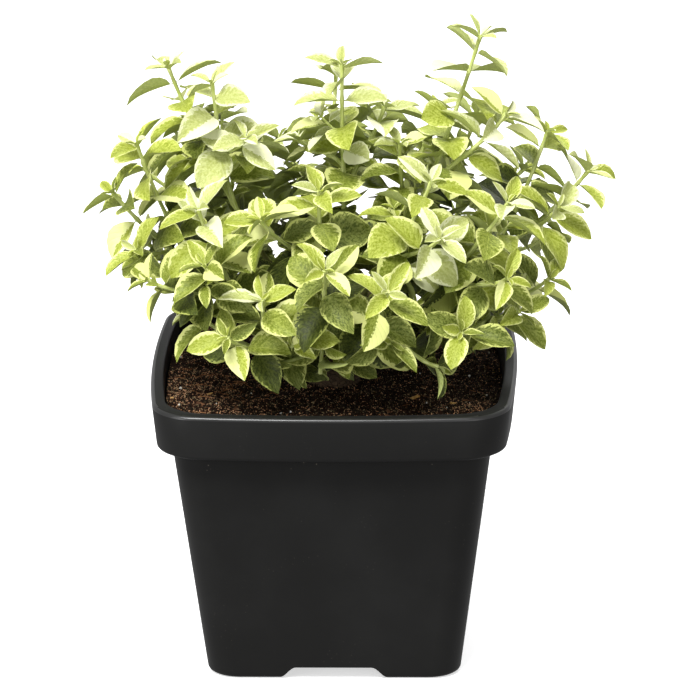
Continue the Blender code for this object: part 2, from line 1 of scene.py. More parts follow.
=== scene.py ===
# A variegated wintercreeper euonymus growing in a square black nursery pot.
# Metres, +Z up. The pot stands on z = 0 with its middle on the Z axis, and its front faces -Y.

import json
import math
import random

import bmesh
import bpy
import numpy as np
from mathutils import Matrix, Quaternion, Vector, noise
from mathutils.bvhtree import BVHTree

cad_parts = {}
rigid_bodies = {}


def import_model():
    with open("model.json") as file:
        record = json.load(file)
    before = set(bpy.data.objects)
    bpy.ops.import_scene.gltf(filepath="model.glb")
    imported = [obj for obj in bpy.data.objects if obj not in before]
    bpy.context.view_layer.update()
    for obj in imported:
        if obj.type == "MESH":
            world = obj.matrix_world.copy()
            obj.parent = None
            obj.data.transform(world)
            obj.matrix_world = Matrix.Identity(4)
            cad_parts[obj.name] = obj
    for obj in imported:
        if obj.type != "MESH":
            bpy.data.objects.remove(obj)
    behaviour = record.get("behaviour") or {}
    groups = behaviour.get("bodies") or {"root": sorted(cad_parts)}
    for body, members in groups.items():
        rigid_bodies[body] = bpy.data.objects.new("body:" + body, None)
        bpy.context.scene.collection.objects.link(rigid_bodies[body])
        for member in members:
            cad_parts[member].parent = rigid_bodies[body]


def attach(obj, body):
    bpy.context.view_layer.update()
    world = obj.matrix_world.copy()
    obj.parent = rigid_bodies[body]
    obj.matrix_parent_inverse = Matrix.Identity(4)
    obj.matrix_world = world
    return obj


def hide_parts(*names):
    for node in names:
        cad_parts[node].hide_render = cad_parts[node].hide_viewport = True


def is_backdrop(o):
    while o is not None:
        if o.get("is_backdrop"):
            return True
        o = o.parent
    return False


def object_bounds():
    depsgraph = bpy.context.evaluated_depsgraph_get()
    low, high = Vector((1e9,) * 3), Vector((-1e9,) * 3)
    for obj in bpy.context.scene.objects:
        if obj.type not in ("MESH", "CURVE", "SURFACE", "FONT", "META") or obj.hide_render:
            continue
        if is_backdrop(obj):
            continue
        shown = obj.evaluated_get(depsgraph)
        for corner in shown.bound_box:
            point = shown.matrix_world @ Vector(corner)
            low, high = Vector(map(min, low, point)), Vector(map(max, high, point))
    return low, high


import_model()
cad_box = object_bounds()

MM = 0.001
UP = Vector((0, 0, 1))


# The view. A long lens three metres off looks a little down on the pot's front. The floor is a plain pale
# sheet that runs past the picture's edge. A big soft lamp stands at the upper left, with a fill lamp at the
# right, a lamp behind and a small card at the left.
VIEW_DISTANCE = 3.0
VIEW_ELEVATION = math.radians(18.66)
VIEW_AZIMUTH = math.radians(-1.54)
VIEW_ROLL = math.radians(-0.42)
VIEW_AIM = Vector((5.85 * MM, -2.3 * MM, 134.7 * MM))
LENS_MM = 354.5
SENSOR_MM = 36.0
FLOOR_SIZE = 40.0
FLOOR_COLOUR = (0.75, 0.75, 0.75, 1)
FLOOR_ROUGHNESS = 0.9
FLOOR_GLOW = 0.8  # keeps the pot's shadow on the floor faint
WORLD_COLOUR = (1.0, 1.0, 1.0, 1)
WORLD_STRENGTH = 0.46
LAMPS = (  # name, place, width and height, power
    ("key lamp", (-0.7, -1.3, 2.35), (1.5, 0.7), 92),
    ("fill lamp", (1.1, -2.0, 0.5), (1.4, 1.4), 8.5),
    ("back lamp", (0.5, 1.7, 2.1), (1.4, 1.4), 40),
    ("left card", (-0.7, -0.6, 0.25), (0.4, 0.4), 2.3),
)

looking = Vector((
    math.sin(VIEW_AZIMUTH) * math.cos(VIEW_ELEVATION),
    math.cos(VIEW_AZIMUTH) * math.cos(VIEW_ELEVATION),
    -math.sin(VIEW_ELEVATION),
))
camera = bpy.data.objects.new("camera", bpy.data.cameras.new("camera"))
bpy.context.scene.collection.objects.link(camera)
camera.data.lens = LENS_MM
camera.data.sensor_width = SENSOR_MM
camera.location = VIEW_AIM - looking * VIEW_DISTANCE
level = looking.to_track_quat("-Z", "Y").to_matrix()
camera.rotation_euler = (level @ Matrix.Rotation(VIEW_ROLL, 3, "Z")).to_euler()
bpy.context.scene.camera = camera
bpy.context.scene.view_settings.view_transform = "Standard"

for name, place, (width, height), power in LAMPS:
    lamp = bpy.data.objects.new(name, bpy.data.lights.new(name, "AREA"))
    bpy.context.scene.collection.objects.link(lamp)
    lamp.data.shape = "RECTANGLE"
    lamp.data.size = width
    lamp.data.size_y = height
    lamp.data.energy = power
    lamp.location = place
    lamp.rotation_euler = (VIEW_AIM - lamp.location).to_track_quat("-Z", "Y").to_euler()

world = bpy.data.worlds.new("studio")
world.use_nodes = True
world.node_tree.nodes["Background"].inputs["Color"].default_value = WORLD_COLOUR
world.node_tree.nodes["Background"].inputs["Strength"].default_value = WORLD_STRENGTH
bpy.context.scene.world = world


def new_piece(name, bm, *materials):
    """Puts a bmesh in a new object of the scene."""
    mesh = bpy.data.meshes.new(name)
    bm.to_mesh(mesh)
    bm.free()
    for material in materials:
        mesh.materials.append(material)
    piece = bpy.data.objects.new(name, mesh)
    bpy.context.scene.collection.objects.link(piece)
    return piece


floor_bm = bmesh.new()
bmesh.ops.create_grid(floor_bm, x_segments=1, y_segments=1, size=FLOOR_SIZE / 2)
floor_paint = bpy.data.materials.new("floor paint")
floor_paint.use_nodes = True
floor_shader = floor_paint.node_tree.nodes["Principled BSDF"]
floor_shader.inputs["Base Color"].default_value = FLOOR_COLOUR
floor_shader.inputs["Roughness"].default_value = FLOOR_ROUGHNESS
floor_shader.inputs["Emission Color"].default_value = FLOOR_COLOUR
floor_shader.inputs["Emission Strength"].default_value = FLOOR_GLOW
floor = new_piece("floor", floor_bm, floor_paint)
floor.visible_glossy = False
floor.visible_diffuse = False
floor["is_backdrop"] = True


# The pot. One piece of black polypropylene, injection moulded with a deep stepped collar and a turned lip,
# on a base that is relieved by four shallow arches with a drain hole at the inner end of each.
RIM_WIDTH = 160 * MM
POT_HEIGHT = 128.6 * MM
SIDE_BOW = 4.5 * MM
SIDE_STEPS = 12
RIM_CORNER_RADIUS = 17.5 * MM
BASE_CORNER_RADIUS = 13 * MM
COLLAR_HEIGHT = 20.6 * MM
COLLAR_FOOT_WIDTH = 156.6 * MM
COLLAR_FOOT_ROUNDING = 2 * MM
LIP_WIDTH = 5.5 * MM
LIP_ROUNDING = 1.6 * MM
BODY_TOP_WIDTH = 138 * MM
BASE_WIDTH = 111 * MM
BASE_ROUNDING = 3 * MM
WALL = 2 * MM
POT_FLOOR = 7.4 * MM
ARCH_HEIGHT = 5.5 * MM
ARCH_TOP_WIDTH = 33 * MM
ARCH_FOOT_WIDTH = 49 * MM
ARCH_INNER_END = 19 * MM
ARCH_END_STEPS = 8
DRAIN_RADIUS = 4.5 * MM
DRAIN_FROM_AXIS = 27 * MM
GATE_RADIUS = 5 * MM
GATE_DEPTH = 0.6 * MM
CORNER_STEPS = 14
ROUNDING_STEPS = 4
BASE_ROUNDING_START = -75  # degrees from straight out
HOLE_SIDES = 40
SMOOTH_ANGLE = math.radians(35)
LIP_SHINE_FROM = 0.15  # how far the lip's outer rounding faces outwards where its rubbed shine starts
MOULD_GRAIN = 1900  # this scale and the ones like it are how many to a metre
MOULD_RIPPLE = 380
FILM_CLOUDS = 22
DUST_CLOUDS = 60
DUST_SPECKS = 420
LEDGE_DUST_STARTS = (95 * MM, 103 * MM)  # heights between which the dust under the collar comes and goes
LEDGE_DUST_ENDS = (105 * MM, 108 * MM)
PLASTIC_COLOUR = (0.0110, 0.0109, 0.0105)
PLASTIC_GREY = (0.0185, 0.0185, 0.0180)
DUST_COLOUR = (0.17, 0.15, 0.12)


class Shade:
    """A number, colour or vector of a material. Arithmetic on it adds Math nodes to the same material."""

    def __init__(self, tree, socket=None):
        self.tree = tree
        self.socket = socket

    def node(self, kind, settings=None, inputs=None, output=0):
        """Adds a node with its settings, then the values or links of its sockets, and gives one output."""
        made = self.tree.nodes.new("ShaderNode" + kind)
        for name, value in (settings or {}).items():
            setattr(made, name, value)
        for key, value in (inputs or {}).items():
            if isinstance(value, Shade):
                self.tree.links.new(value.socket, made.inputs[key])
            else:
                made.inputs[key].default_value = value
        return Shade(self.tree, made.outputs[output])

    def math(self, operation, *others):
        return self.node("Math", {"operation": operation}, dict(enumerate((self, *others))))

    def __add__(self, other):
        return self.math("ADD", other)

    def __sub__(self, other):
        return self.math("SUBTRACT", other)

    def __rsub__(self, other):
        return self * -1 + other

    def __mul__(self, other):
        return self.math("MULTIPLY", other)

    def __gt__(self, other):
        return self.math("GREATER_THAN", other)

    def __abs__(self):
        return self.math("ABSOLUTE")

    __radd__ = __add__
    __rmul__ = __mul__

    def part(self, index):
        """One of the three numbers of this vector or colour."""
        return self.node("SeparateXYZ", None, {0: self}, index)

    def rises(self, low, high):
        """0 below low, 1 above high and smooth between them."""
        settings = {"interpolation_type": "SMOOTHSTEP"}
        return self.node("MapRange", settings, {"Value": self, "From Min": low, "From Max": high})

    def mix(self, low, high):
        """A colour between two, by this number."""
        colours = [
            value if isinstance(value, Shade) else (*value, 1) for value in (low, high)
        ]
        return self.node("Mix", {"data_type": "RGBA"}, {0: self, 6: colours[0], 7: colours[1]}, 2)

    def grain(self, scale, detail=2.0, roughness=0.5):
        """Noise over this vector."""
        return self.node("TexNoise", None, {"Vector": self, "Scale": scale, "Detail": detail,
                                            "Roughness": roughness})

    def cells(self, scale, feature="F1", output=0):
        """Distance to the nearest of scattered points over this vector, or the colour of its cell."""
        return self.node("TexVoronoi", {"feature": feature}, {"Vector": self, "Scale": scale}, output)

    def relief(self, strength, depth):
        """A normal bumped by this height."""
        return self.node("Bump", None, {"Height": self, "Strength": strength, "Distance": depth})


class Finish:
    """A material of one Principled shader. Sockets are set to values, and patterns are fed in."""

    def __init__(self, name, **sockets):
        self.material = bpy.data.materials.new(name)
        self.material.use_nodes = True
        self.tree = self.material.node_tree
        self.shader = self.tree.nodes["Principled BSDF"]
        for key, value in sockets.items():
            self.shader.inputs[key.replace("_", " ")].default_value = value

    def place(self, kind="Object"):
        """Where on the object a point lies, or where on the piece's own map."""
        output = {"Object": 3, "UV": 2}[kind]
        return Shade(self.tree).node("TexCoord", output=output)

    def feed(self, **patterns):
        for key, value in patterns.items():
            self.tree.links.new(value.socket, self.shader.inputs[key.replace("_", " ")])
        return self.material


def corner_radius(half_width):
    """The radius of a ring's corners, which grows evenly with its width from the base to the rim."""
    share = (half_width - BASE_WIDTH / 2) / (RIM_WIDTH / 2 - BASE_WIDTH / 2)
    return BASE_CORNER_RADIUS + (RIM_CORNER_RADIUS - BASE_CORNER_RADIUS) * share


def ring_places(half_width, height):
    """The points of a square ring with round corners. Its sides bow where it is wider than the body."""
    radius = corner_radius(half_width)
    straight = half_width - radius
    quarter = []
    for step in range(CORNER_STEPS + 1):
        turn = math.pi / 2 * step / CORNER_STEPS
        quarter.append((straight + radius * math.cos(turn), straight + radius * math.sin(turn)))
    for step in range(1, SIDE_STEPS):
        quarter.append((straight * (1 - 2 * step / SIDE_STEPS), half_width))
    bow = SIDE_BOW if half_width > BODY_TOP_WIDTH / 2 else 0
    pull = bow / half_width**3
    places = []
    for side in range(4):
        turned = Matrix.Rotation(side * math.pi / 2, 3, "Z")
        for x, y in quarter:
            places.append(turned @ Vector((x * (1 - pull * y**2), y * (1 - pull * x**2), height)))
    return places


def extruded(bm, face):
    """Extrudes a face and returns the new one. A face that stands alone stays, as the foot of the solid."""
    alone = all(len(edge.link_faces) == 1 for edge in face.edges)
    made = bmesh.ops.extrude_face_region(bm, geom=[face])["geom"]
    if not alone:
        bmesh.ops.delete(bm, geom=[face], context="FACES_ONLY")
    return next(item for item in made if isinstance(item, bmesh.types.BMFace))


def extruded_ring(bm, face, half_width, height):
    """Extrudes the face to a new half width and height, and returns the new face."""
    new_face = extruded(bm, face)
    for vert, place in zip(new_face.verts, ring_places(half_width, height)):
        vert.co = place
    return new_face


def body_half_width(height):
    share = height / (POT_HEIGHT - COLLAR_HEIGHT)
    return (BASE_WIDTH + (BODY_TOP_WIDTH - BASE_WIDTH) * share) / 2


def collar_half_width(height):
    share = (height - POT_HEIGHT + COLLAR_HEIGHT) / COLLAR_HEIGHT
    return (COLLAR_FOOT_WIDTH + (RIM_WIDTH - COLLAR_FOOT_WIDTH) * share) / 2


def rounding(middle, radius, start, end):
    """Half widths and heights along an arc, by its angles in degrees from straight out."""
    for step in range(ROUNDING_STEPS + 1):
        turn = math.radians(start + (end - start) * step / ROUNDING_STEPS)
        yield middle[0] + radius * math.cos(turn), middle[1] + radius * math.sin(turn)


def pot_profile():
    """Half widths and heights round the wall: up the outside, over the lip and down the inside."""
    foot = POT_HEIGHT - COLLAR_HEIGHT
    shelf = foot + WALL
    rim = RIM_WIDTH / 2
    inner_rim = rim - LIP_WIDTH
    inner_rounding = LIP_ROUNDING / 2
    base_middle = (body_half_width(0) - BASE_ROUNDING, BASE_ROUNDING)
    foot_middle = (COLLAR_FOOT_WIDTH / 2 - COLLAR_FOOT_ROUNDING, foot + COLLAR_FOOT_ROUNDING)
    lip_middle = (rim - LIP_ROUNDING, POT_HEIGHT - LIP_ROUNDING)
    yield from rounding(base_middle, BASE_ROUNDING, BASE_ROUNDING_START, 0)
    yield BODY_TOP_WIDTH / 2, foot
    yield from rounding(foot_middle, COLLAR_FOOT_ROUNDING, -90, 0)
    yield from rounding(lip_middle, LIP_ROUNDING, 0, 90)
    yield from rounding((inner_rim + inner_rounding, POT_HEIGHT - inner_rounding), inner_rounding, 90, 180)
    yield collar_half_width(shelf) - LIP_WIDTH, shelf
    yield body_half_width(shelf) - WALL, shelf
    yield body_half_width(POT_FLOOR) - WALL, POT_FLOOR


def arch_cutter():
    """A bar under one side whose ends rise in an S."""
    bm = bmesh.new()
    outline = []
    for step in range(ARCH_END_STEPS + 1):
        share = step / ARCH_END_STEPS
        width = ARCH_FOOT_WIDTH + (ARCH_TOP_WIDTH - ARCH_FOOT_WIDTH) * share
        rise = (1 - math.cos(math.pi * share)) / 2
        outline.append((width / 2, rise * ARCH_HEIGHT))
    outline = [(outline[0][0], -WALL)] + outline
    outline += [(-x, z) for x, z in reversed(outline)]
    face = bm.faces.new([bm.verts.new((x, -ARCH_INNER_END, z)) for x, z in outline])
    face = extruded(bm, face)
    bmesh.ops.translate(bm, verts=face.verts, vec=(0, ARCH_INNER_END - BASE_WIDTH / 2 - WALL, 0))
    return bm


def hole_cutter(radius, place, depth):
    bm = bmesh.new()
    bmesh.ops.create_cone(
        bm, cap_ends=True, segments=HOLE_SIDES, radius1=radius, radius2=radius, depth=depth
    )
    bmesh.ops.translate(bm, verts=bm.verts, vec=place)
    return bm


pot_bm = bmesh.new()
base_ring = ring_places(body_half_width(0) - BASE_ROUNDING, 0)
pot_face = pot_bm.faces.new([pot_bm.verts.new(place) for place in base_ring])
for half_width, height in pot_profile():
    pot_face = extruded_ring(pot_bm, pot_face, half_width, height)
bmesh.ops.recalc_face_normals(pot_bm, faces=pot_bm.faces)


def black_plastic(name, **sockets):
    """Satin black plastic with a fine mould grain, a grey film and dust on the body under the collar."""
    made = Finish(name, Roughness=0.4, Specular_IOR_Level=0.16, **sockets)
    spot = made.place()
    mould_grain = spot.grain(MOULD_GRAIN, 3)
    cloud = spot.grain(FILM_CLOUDS, 4)
    height_up = spot.part(2)
    ledge = height_up.rises(*LEDGE_DUST_STARTS) * (1 - height_up.rises(*LEDGE_DUST_ENDS))
    specks = spot.cells(DUST_SPECKS).rises(0.05, 0.16)
    dust = (1 - specks) * spot.grain(DUST_CLOUDS, 1).rises(0.52, 0.66) * (0.10 + 0.75 * ledge)
    film = cloud.rises(0.4, 0.75) * 0.5
    return made.feed(
        Base_Color=dust.mix(film.mix(PLASTIC_COLOUR, PLASTIC_GREY), DUST_COLOUR),
        Roughness=0.33 + 0.16 * cloud + 0.4 * dust,
        Normal=(mould_grain + 0.6 * spot.grain(MOULD_RIPPLE, 2)).relief(0.10, 0.12 * MM),
    )


for face in pot_bm.faces:
    middle = face.calc_center_median()
    outwards = face.normal.dot(Vector((middle.x, middle.y, 0)).normalized())
    if middle.z > POT_HEIGHT - LIP_ROUNDING and outwards > LIP_SHINE_FROM:
        face.material_index = 1
plastic = black_plastic("satin black plastic")
rubbed_plastic = black_plastic("rubbed black plastic", Coat_Weight=0.9, Coat_Roughness=0.3)

pot = new_piece("nursery_pot", pot_bm, plastic, rubbed_plastic)
cutters = []
for quarter in range(4):
    turn = Matrix.Rotation(quarter * math.pi / 2, 3, "Z")
    for cutter_bm in (
        arch_cutter(),
        hole_cutter(DRAIN_RADIUS, (0, -DRAIN_FROM_AXIS, POT_FLOOR / 2), POT_FLOOR * 2),
    ):
        bmesh.ops.rotate(cutter_bm, verts=cutter_bm.verts, matrix=turn)
        cutters.append(cutter_bm)
cutters.append(hole_cutter(GATE_RADIUS, (0, 0, 0), 2 * GATE_DEPTH))
for cutter_bm in cutters:
    bmesh.ops.recalc_face_normals(cutter_bm, faces=cutter_bm.faces)
    cutter = new_piece("cutter", cutter_bm)
    cut = pot.modifiers.new("cut", "BOOLEAN")
    cut.operation = "DIFFERENCE"
    cut.object = cutter


def apply_modifiers(piece):
    """Makes what the modifiers show the piece's own mesh."""
    bpy.context.view_layer.update()
    shown = piece.evaluated_get(bpy.context.evaluated_depsgraph_get())
    mesh = bpy.data.meshes.new_from_object(shown)
    piece.modifiers.clear()
    piece.data = mesh


apply_modifiers(pot)
for thing in [thing for thing in bpy.data.objects if thing.name.startswith("cutter")]:
    bpy.data.objects.remove(thing)
pot.data.shade_smooth()
pot.data.set_sharp_from_angle(angle=SMOOTH_ANGLE)
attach(pot, "root")
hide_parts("pot")


# The potting soil. Moist dark peat that fills the pot to just under its lip, level at the crown, banked up
# on the left and at the right front corner, and sunk at the back right. Its surface is lumps and crumbs.
SOIL_LEVEL = 120 * MM
SOIL_FLAT_RADIUS = 17 * MM
SOIL_SLOPE_REACH = 34 * MM
SOIL_LEFT_RISE = 2.2 * MM
SOIL_BACK_DIP = 3.2 * MM
SOIL_EDGE_GAP = 0.3 * MM
SOIL_CELLS = 150
SOIL_LUMPS = ((70, 1.5 * MM), (210, 0.8 * MM), (620, 0.4 * MM))  # how many to a metre, and their height
MOUND_PLACE = Vector((62 * MM, -46 * MM, 0))
MOUND_RADIUS = 26 * MM
MOUND_HEIGHT = 3.4 * MM
PEAT_CRUMBS = 900
PEAT_GRAINS = 2600
PEAT_SPECKS = 1300
SPECK_CLOUDS = 420
SPECK_PATCHES = 60
PEAT_BLACK = (0.0025, 0.0013, 0.0009)
PEAT_BROWN = (0.036, 0.015, 0.0075)
PEAT_RUST = (0.15, 0.062, 0.026)


def soil_height(x, y):
    """Height of the soil's surface, without its lumps."""
    reach = (math.hypot(x, y) - SOIL_FLAT_RADIUS) / SOIL_SLOPE_REACH
    share = min(max(reach, 0), 1)
    half = RIM_WIDTH / 2
    left = SOIL_LEFT_RISE * -x / half
    back = SOIL_BACK_DIP * (x + y) / (2 * half) if x + y > 0 else 0
    return SOIL_LEVEL + share * (left - back)


def soil_surface(x, y):
    """A point on the lumpy surface of the soil."""
    place = Vector((x, y, 0))
    height = soil_height(x, y)
    mound = 1 - (place - MOUND_PLACE).length / MOUND_RADIUS
    if mound > 0:
        height += MOUND_HEIGHT * mound * mound * (3 - 2 * mound)
    for scale, lump in SOIL_LUMPS:
        height += lump * noise.noise(place * scale)
    return Vector((x, y, height))


soil_edge = collar_half_width(SOIL_LEVEL - SOIL_BACK_DIP) - LIP_WIDTH - SOIL_EDGE_GAP


def kept_on_soil(x, y):
    """Moves a point of a plain square on to the soil, whose corners are round and whose sides bow."""
    middle = soil_edge - corner_radius(soil_edge)
    over = Vector((min(abs(x), soil_edge) - middle, min(abs(y), soil_edge) - middle))
    if over.x > 0 and over.y > 0:
        over *= max(over.x, over.y) / over.length
    new_x = math.copysign(middle + over.x, x)
    new_y = math.copysign(middle + over.y, y)
    pull = SIDE_BOW / soil_edge**3
    return new_x * (1 - pull * new_y**2), new_y * (1 - pull * new_x**2)


soil_bm = bmesh.new()
bmesh.ops.create_grid(soil_bm, x_segments=SOIL_CELLS, y_segments=SOIL_CELLS, size=soil_edge)
for vert in soil_bm.verts:
    vert.co = soil_surface(*kept_on_soil(vert.co.x, vert.co.y))
soil_rim = [edge for edge in soil_bm.edges if edge.is_boundary]
soil_shelf = POT_HEIGHT - COLLAR_HEIGHT + WALL + SOIL_EDGE_GAP
soil_steps = (
    (collar_half_width(soil_shelf) - LIP_WIDTH - SOIL_EDGE_GAP, soil_shelf),
    (body_half_width(soil_shelf) - WALL - SOIL_EDGE_GAP, soil_shelf),
    (body_half_width(POT_FLOOR) - WALL - SOIL_EDGE_GAP, POT_FLOOR + SOIL_EDGE_GAP),
)
for half_width, height in soil_steps:
    made = bmesh.ops.extrude_edge_only(soil_bm, edges=soil_rim)["geom"]
    soil_rim = [item for item in made if isinstance(item, bmesh.types.BMEdge)]
    ring = [item for item in made if isinstance(item, bmesh.types.BMVert)]
    share = half_width / max(abs(vert.co.x) for vert in ring)
    for vert in ring:
        vert.co = Vector((vert.co.x * share, vert.co.y * share, height))
bmesh.ops.contextual_create(soil_bm, geom=soil_rim)
bmesh.ops.recalc_face_normals(soil_bm, faces=soil_bm.faces)

peat = Finish("moist peat", Roughness=0.95, Specular_IOR_Level=0.08)
spot = peat.place()
crumbs = spot.grain(PEAT_CRUMBS, 4, 0.7)
patches = spot.grain(SPECK_PATCHES, 2).rises(0.45, 0.7)
peat_colour = crumbs.rises(0.42, 0.62).mix(PEAT_BLACK, PEAT_BROWN)
specks = (1 - spot.cells(PEAT_SPECKS).rises(0.18, 0.34)) * spot.grain(SPECK_CLOUDS, 2).rises(0.45, 0.58)
peat_colour = (specks * (0.35 + 0.65 * patches)).mix(peat_colour, PEAT_RUST)
peat.feed(
    Base_Color=peat_colour,
    Roughness=0.8 + 0.18 * crumbs,
    Normal=(crumbs + spot.grain(PEAT_GRAINS, 2)).relief(0.9, 0.7 * MM),
)
soil = new_piece("soil_bed", soil_bm, peat.material)
soil.data.shade_smooth()
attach(soil, "root")
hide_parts("potting_soil")


# What lies loose on the soil: crumbs of peat in three browns, flakes of bark, grains of white perlite, a few
# golden chips and fine rust-coloured fibres, most of them at the left front. Each kind is one joined mesh.
MAP_NAME = "OFBake"
MAP_WINDOWS = 16  # windows each way on the map that a grain, flake or fibre takes its colours from
WINDOW_FILL = 0.9
CRUMB_SHAPES = 6
CRUMB_FLATNESS = 0.8
CRUMB_UNEVENNESS = 0.45
CRUMB_LUMPS = 3
CRUMB_LIFT = 0.12  # how high a thing's middle lies over the soil, as a share of its size
CRUMB_ROUGHNESS = 0.9
CRUMB_SIZE_POWER = 2
CRUMBS = (  # name, how many, least and most width, how far they gather where the soil is rusty, colours
    ("dark_crumbs", 4600, (0.6 * MM, 1.8 * MM), 0, ((0.004, 0.0026, 0.0016), (0.027, 0.017, 0.009))),
    ("brown_crumbs", 7200, (0.28 * MM, 0.8 * MM), 0.15, ((0.060, 0.040, 0.021), (0.38, 0.29, 0.16))),
    ("rust_crumbs", 5800, (0.3 * MM, 0.8 * MM), 0.75, ((0.19, 0.066, 0.024), (0.70, 0.42, 0.24))),
)
RUSTY_PLACES = (  # middle on the soil and radius
    (Vector((-68 * MM, -22 * MM)), 34 * MM),
    (Vector((-50 * MM, -60 * MM)), 36 * MM),
    (Vector((62 * MM, -46 * MM)), 24 * MM),
    (Vector((20 * MM, 62 * MM)), 30 * MM),
)
PERLITE_COUNT = 50
PERLITE_WIDTH = (0.5 * MM, 1.5 * MM)
PERLITE_LIFT = 0.25
PERLITE_ROUGHNESS = 0.8
PERLITE_COLOURS = ((0.52, 0.48, 0.41), (0.86, 0.83, 0.77))
FLAKE_SHAPES = 5
FLAKE_SIZE = (1, 0.42, 0.16)
FLAKE_RAGGEDNESS = Vector((0.16, 0.12, 0.07))
FLAKE_LUMPS = 4
FLAKE_CUTS = 2
BARK_COUNT = 60
BARK_LENGTH = (1.6 * MM, 4 * MM)
BARK_LIFT = 0.06
BARK_TILT = 0.5
BARK_ROUGHNESS = 0.85
BARK_COLOURS = ((0.035, 0.016, 0.009), (0.15, 0.07, 0.032))
FIBRE_COUNT = 80
FIBRE_LENGTH = (2.5 * MM, 8 * MM)
FIBRE_RADIUS = 0.1 * MM
FIBRE_LIFT = 0.2 * MM
FIBRE_ARCH = 1.2 * MM
FIBRE_BEND = 1.6
FIBRE_SIDES = 3
FIBRE_SEGMENTS = 5
FIBRE_ROUGHNESS = 0.85
FIBRES_GATHERED = 0.5  # the share of them that lies at the left front
GATHERED_FROM_AXIS = 0.35  # of the soil's half width
GATHERED_SPREAD = (0.6, 0.5)  # to the left and to the front
FIBRE_COLOURS = ((0.17, 0.062, 0.022), (0.42, 0.20, 0.085))
CHIPS = (  # place on the soil and length
    ((-54 * MM, -25 * MM), 3.2 * MM),
    ((-70 * MM, -34 * MM), 2.2 * MM),
    ((35.5 * MM, -24 * MM), 4.2 * MM),
    ((52 * MM, -31 * MM), 2.4 * MM),
    ((-30 * MM, 58 * MM), 2.8 * MM),
)
CHIP_LIFT = 0.16
CHIP_TILT = 0.4
CHIP_ROUGHNESS = 0.6
CHIP_COLOURS = ((0.42, 0.20, 0.045), (0.85, 0.55, 0.20))
CROWN_KEEP_OUT = 9 * MM


class Template:
    """A small mesh to copy, as arrays of its corners, the corners of its faces and its map."""

    def __init__(self, bm):
        bm.verts.ensure_lookup_table()
        bm.verts.index_update()
        self.places = np.array([vert.co for vert in bm.verts])
        self.faces = [[vert.index for vert in face.verts] for face in bm.faces]
        layer = bm.loops.layers.uv.active
        if layer:
            self.map = np.array([loop[layer].uv for face in bm.faces for loop in face.loops])
        bm.free()


class Heap:
    """Copies of small meshes that are joined into one piece."""

    def __init__(self):
        self.places = []
        self.faces = []
        self.map = []
        self.count = 0

    def add(self, faces, places, corner_map):
        self.places.append(places)
        self.faces.extend([index + self.count for index in face] for face in faces)
        self.map.append(corner_map)
        self.count += len(places)

    def piece(self, name, material, slot, smooth_angle=0):
        """Makes one object of the heap. Edges sharper than the angle stay sharp."""
        mesh = bpy.data.meshes.new(name)
        mesh.from_pydata(np.concatenate(self.places).tolist(), [], self.faces)
        layer = mesh.uv_layers.new(name=MAP_NAME)
        layer.data.foreach_set("uv", np.concatenate(self.map).astype(np.float32).ravel())
        mesh.materials.append(material)
        mesh.shade_smooth()
        mesh.set_sharp_from_angle(angle=smooth_angle)
        made = bpy.data.objects.new(name, mesh)
        bpy.context.scene.collection.objects.link(made)
        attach(made, "root")
        return made


def in_window(window, count, corners):
    """Map places in one of the windows of a map, for corners whose own map is 0 to 1 each way."""
    return (np.array(window) + (1 - WINDOW_FILL) / 2 + corners * WINDOW_FILL) / count


def window_map(draw, corners, count=MAP_WINDOWS):
    """Map places in a window drawn at random."""
    column = draw.randrange(count)
    row = draw.randrange(count)
    return in_window((column, row), count, corners)


def box_map(template):
    """Map places for a small solid: its corners seen from above, with the underside beside the top."""
    places = template.places / np.abs(template.places).max()
    flat = np.array([places[index] for face in template.faces for index in face])
    return np.stack([(flat[:, 0] + 1) / 2, (flat[:, 1] * 0.5 + flat[:, 2] * 0.5 + 1) / 2], axis=1)


def crumb_template(seed):
    """An uneven lump of twenty faces."""
    bm = bmesh.new()
    bmesh.ops.create_icosphere(bm, subdivisions=1, radius=0.5)
    for vert in bm.verts:
        vert.co *= 1 + CRUMB_UNEVENNESS * noise.noise(vert.co * CRUMB_LUMPS + Vector((seed, 0, 0)))
        vert.co.z *= CRUMB_FLATNESS
    template = Template(bm)
    template.map = box_map(template)
    return template


def flake_template(seed):
    """A bevelled splinter, longer than wide and thin, with ragged ends."""
    bm = bmesh.new()
    bmesh.ops.create_cube(bm, size=1)
    bmesh.ops.scale(bm, verts=bm.verts, vec=FLAKE_SIZE)
    ends = [edge for edge in bm.edges if abs(edge.verts[0].co.x - edge.verts[1].co.x) > 0.5]
    bmesh.ops.subdivide_edges(bm, edges=ends, cuts=FLAKE_CUTS)
    for vert in bm.verts:
        vert.co += noise.noise_vector(vert.co * FLAKE_LUMPS + Vector((seed, 0, 0))) * FLAKE_RAGGEDNESS
    template = Template(bm)
    template.map = box_map(template)
    return template


def loose_paint(name, colours, roughness):
    """A finish whose colours are read from the piece's map: one tone for each window, and grain within it."""
    made = Finish(name, Roughness=roughness, Specular_IOR_Level=0.12)
    spot = made.place("UV")
    tone = spot.grain(MAP_WINDOWS * 1.7, 1).rises(0.3, 0.7)
    fine = spot.grain(MAP_WINDOWS * 9, 3)
    return made.feed(
        Base_Color=(0.65 * tone + 0.5 * fine.rises(0.35, 0.7)).mix(*colours),
        Roughness=roughness + 0.12 * (fine - 0.5),
    )


def rustiness(x, y):
    """How rusty the soil is at a point, from 0 to 1."""
    place = Vector((x, y))
    near = max(1 - (place - middle).length / radius for middle, radius in RUSTY_PLACES)
    return min(max(near, 0), 1)


def soil_spot(draw, gather=0):
    """A random place on the soil, outside the crown's foot, that may be drawn to where it is rusty."""
    while True:
        x, y = kept_on_soil(draw.uniform(-soil_edge, soil_edge), draw.uniform(-soil_edge, soil_edge))
        if math.hypot(x, y) > CROWN_KEEP_OUT and draw.random() < 1 - gather + gather * rustiness(x, y):
            return x, y


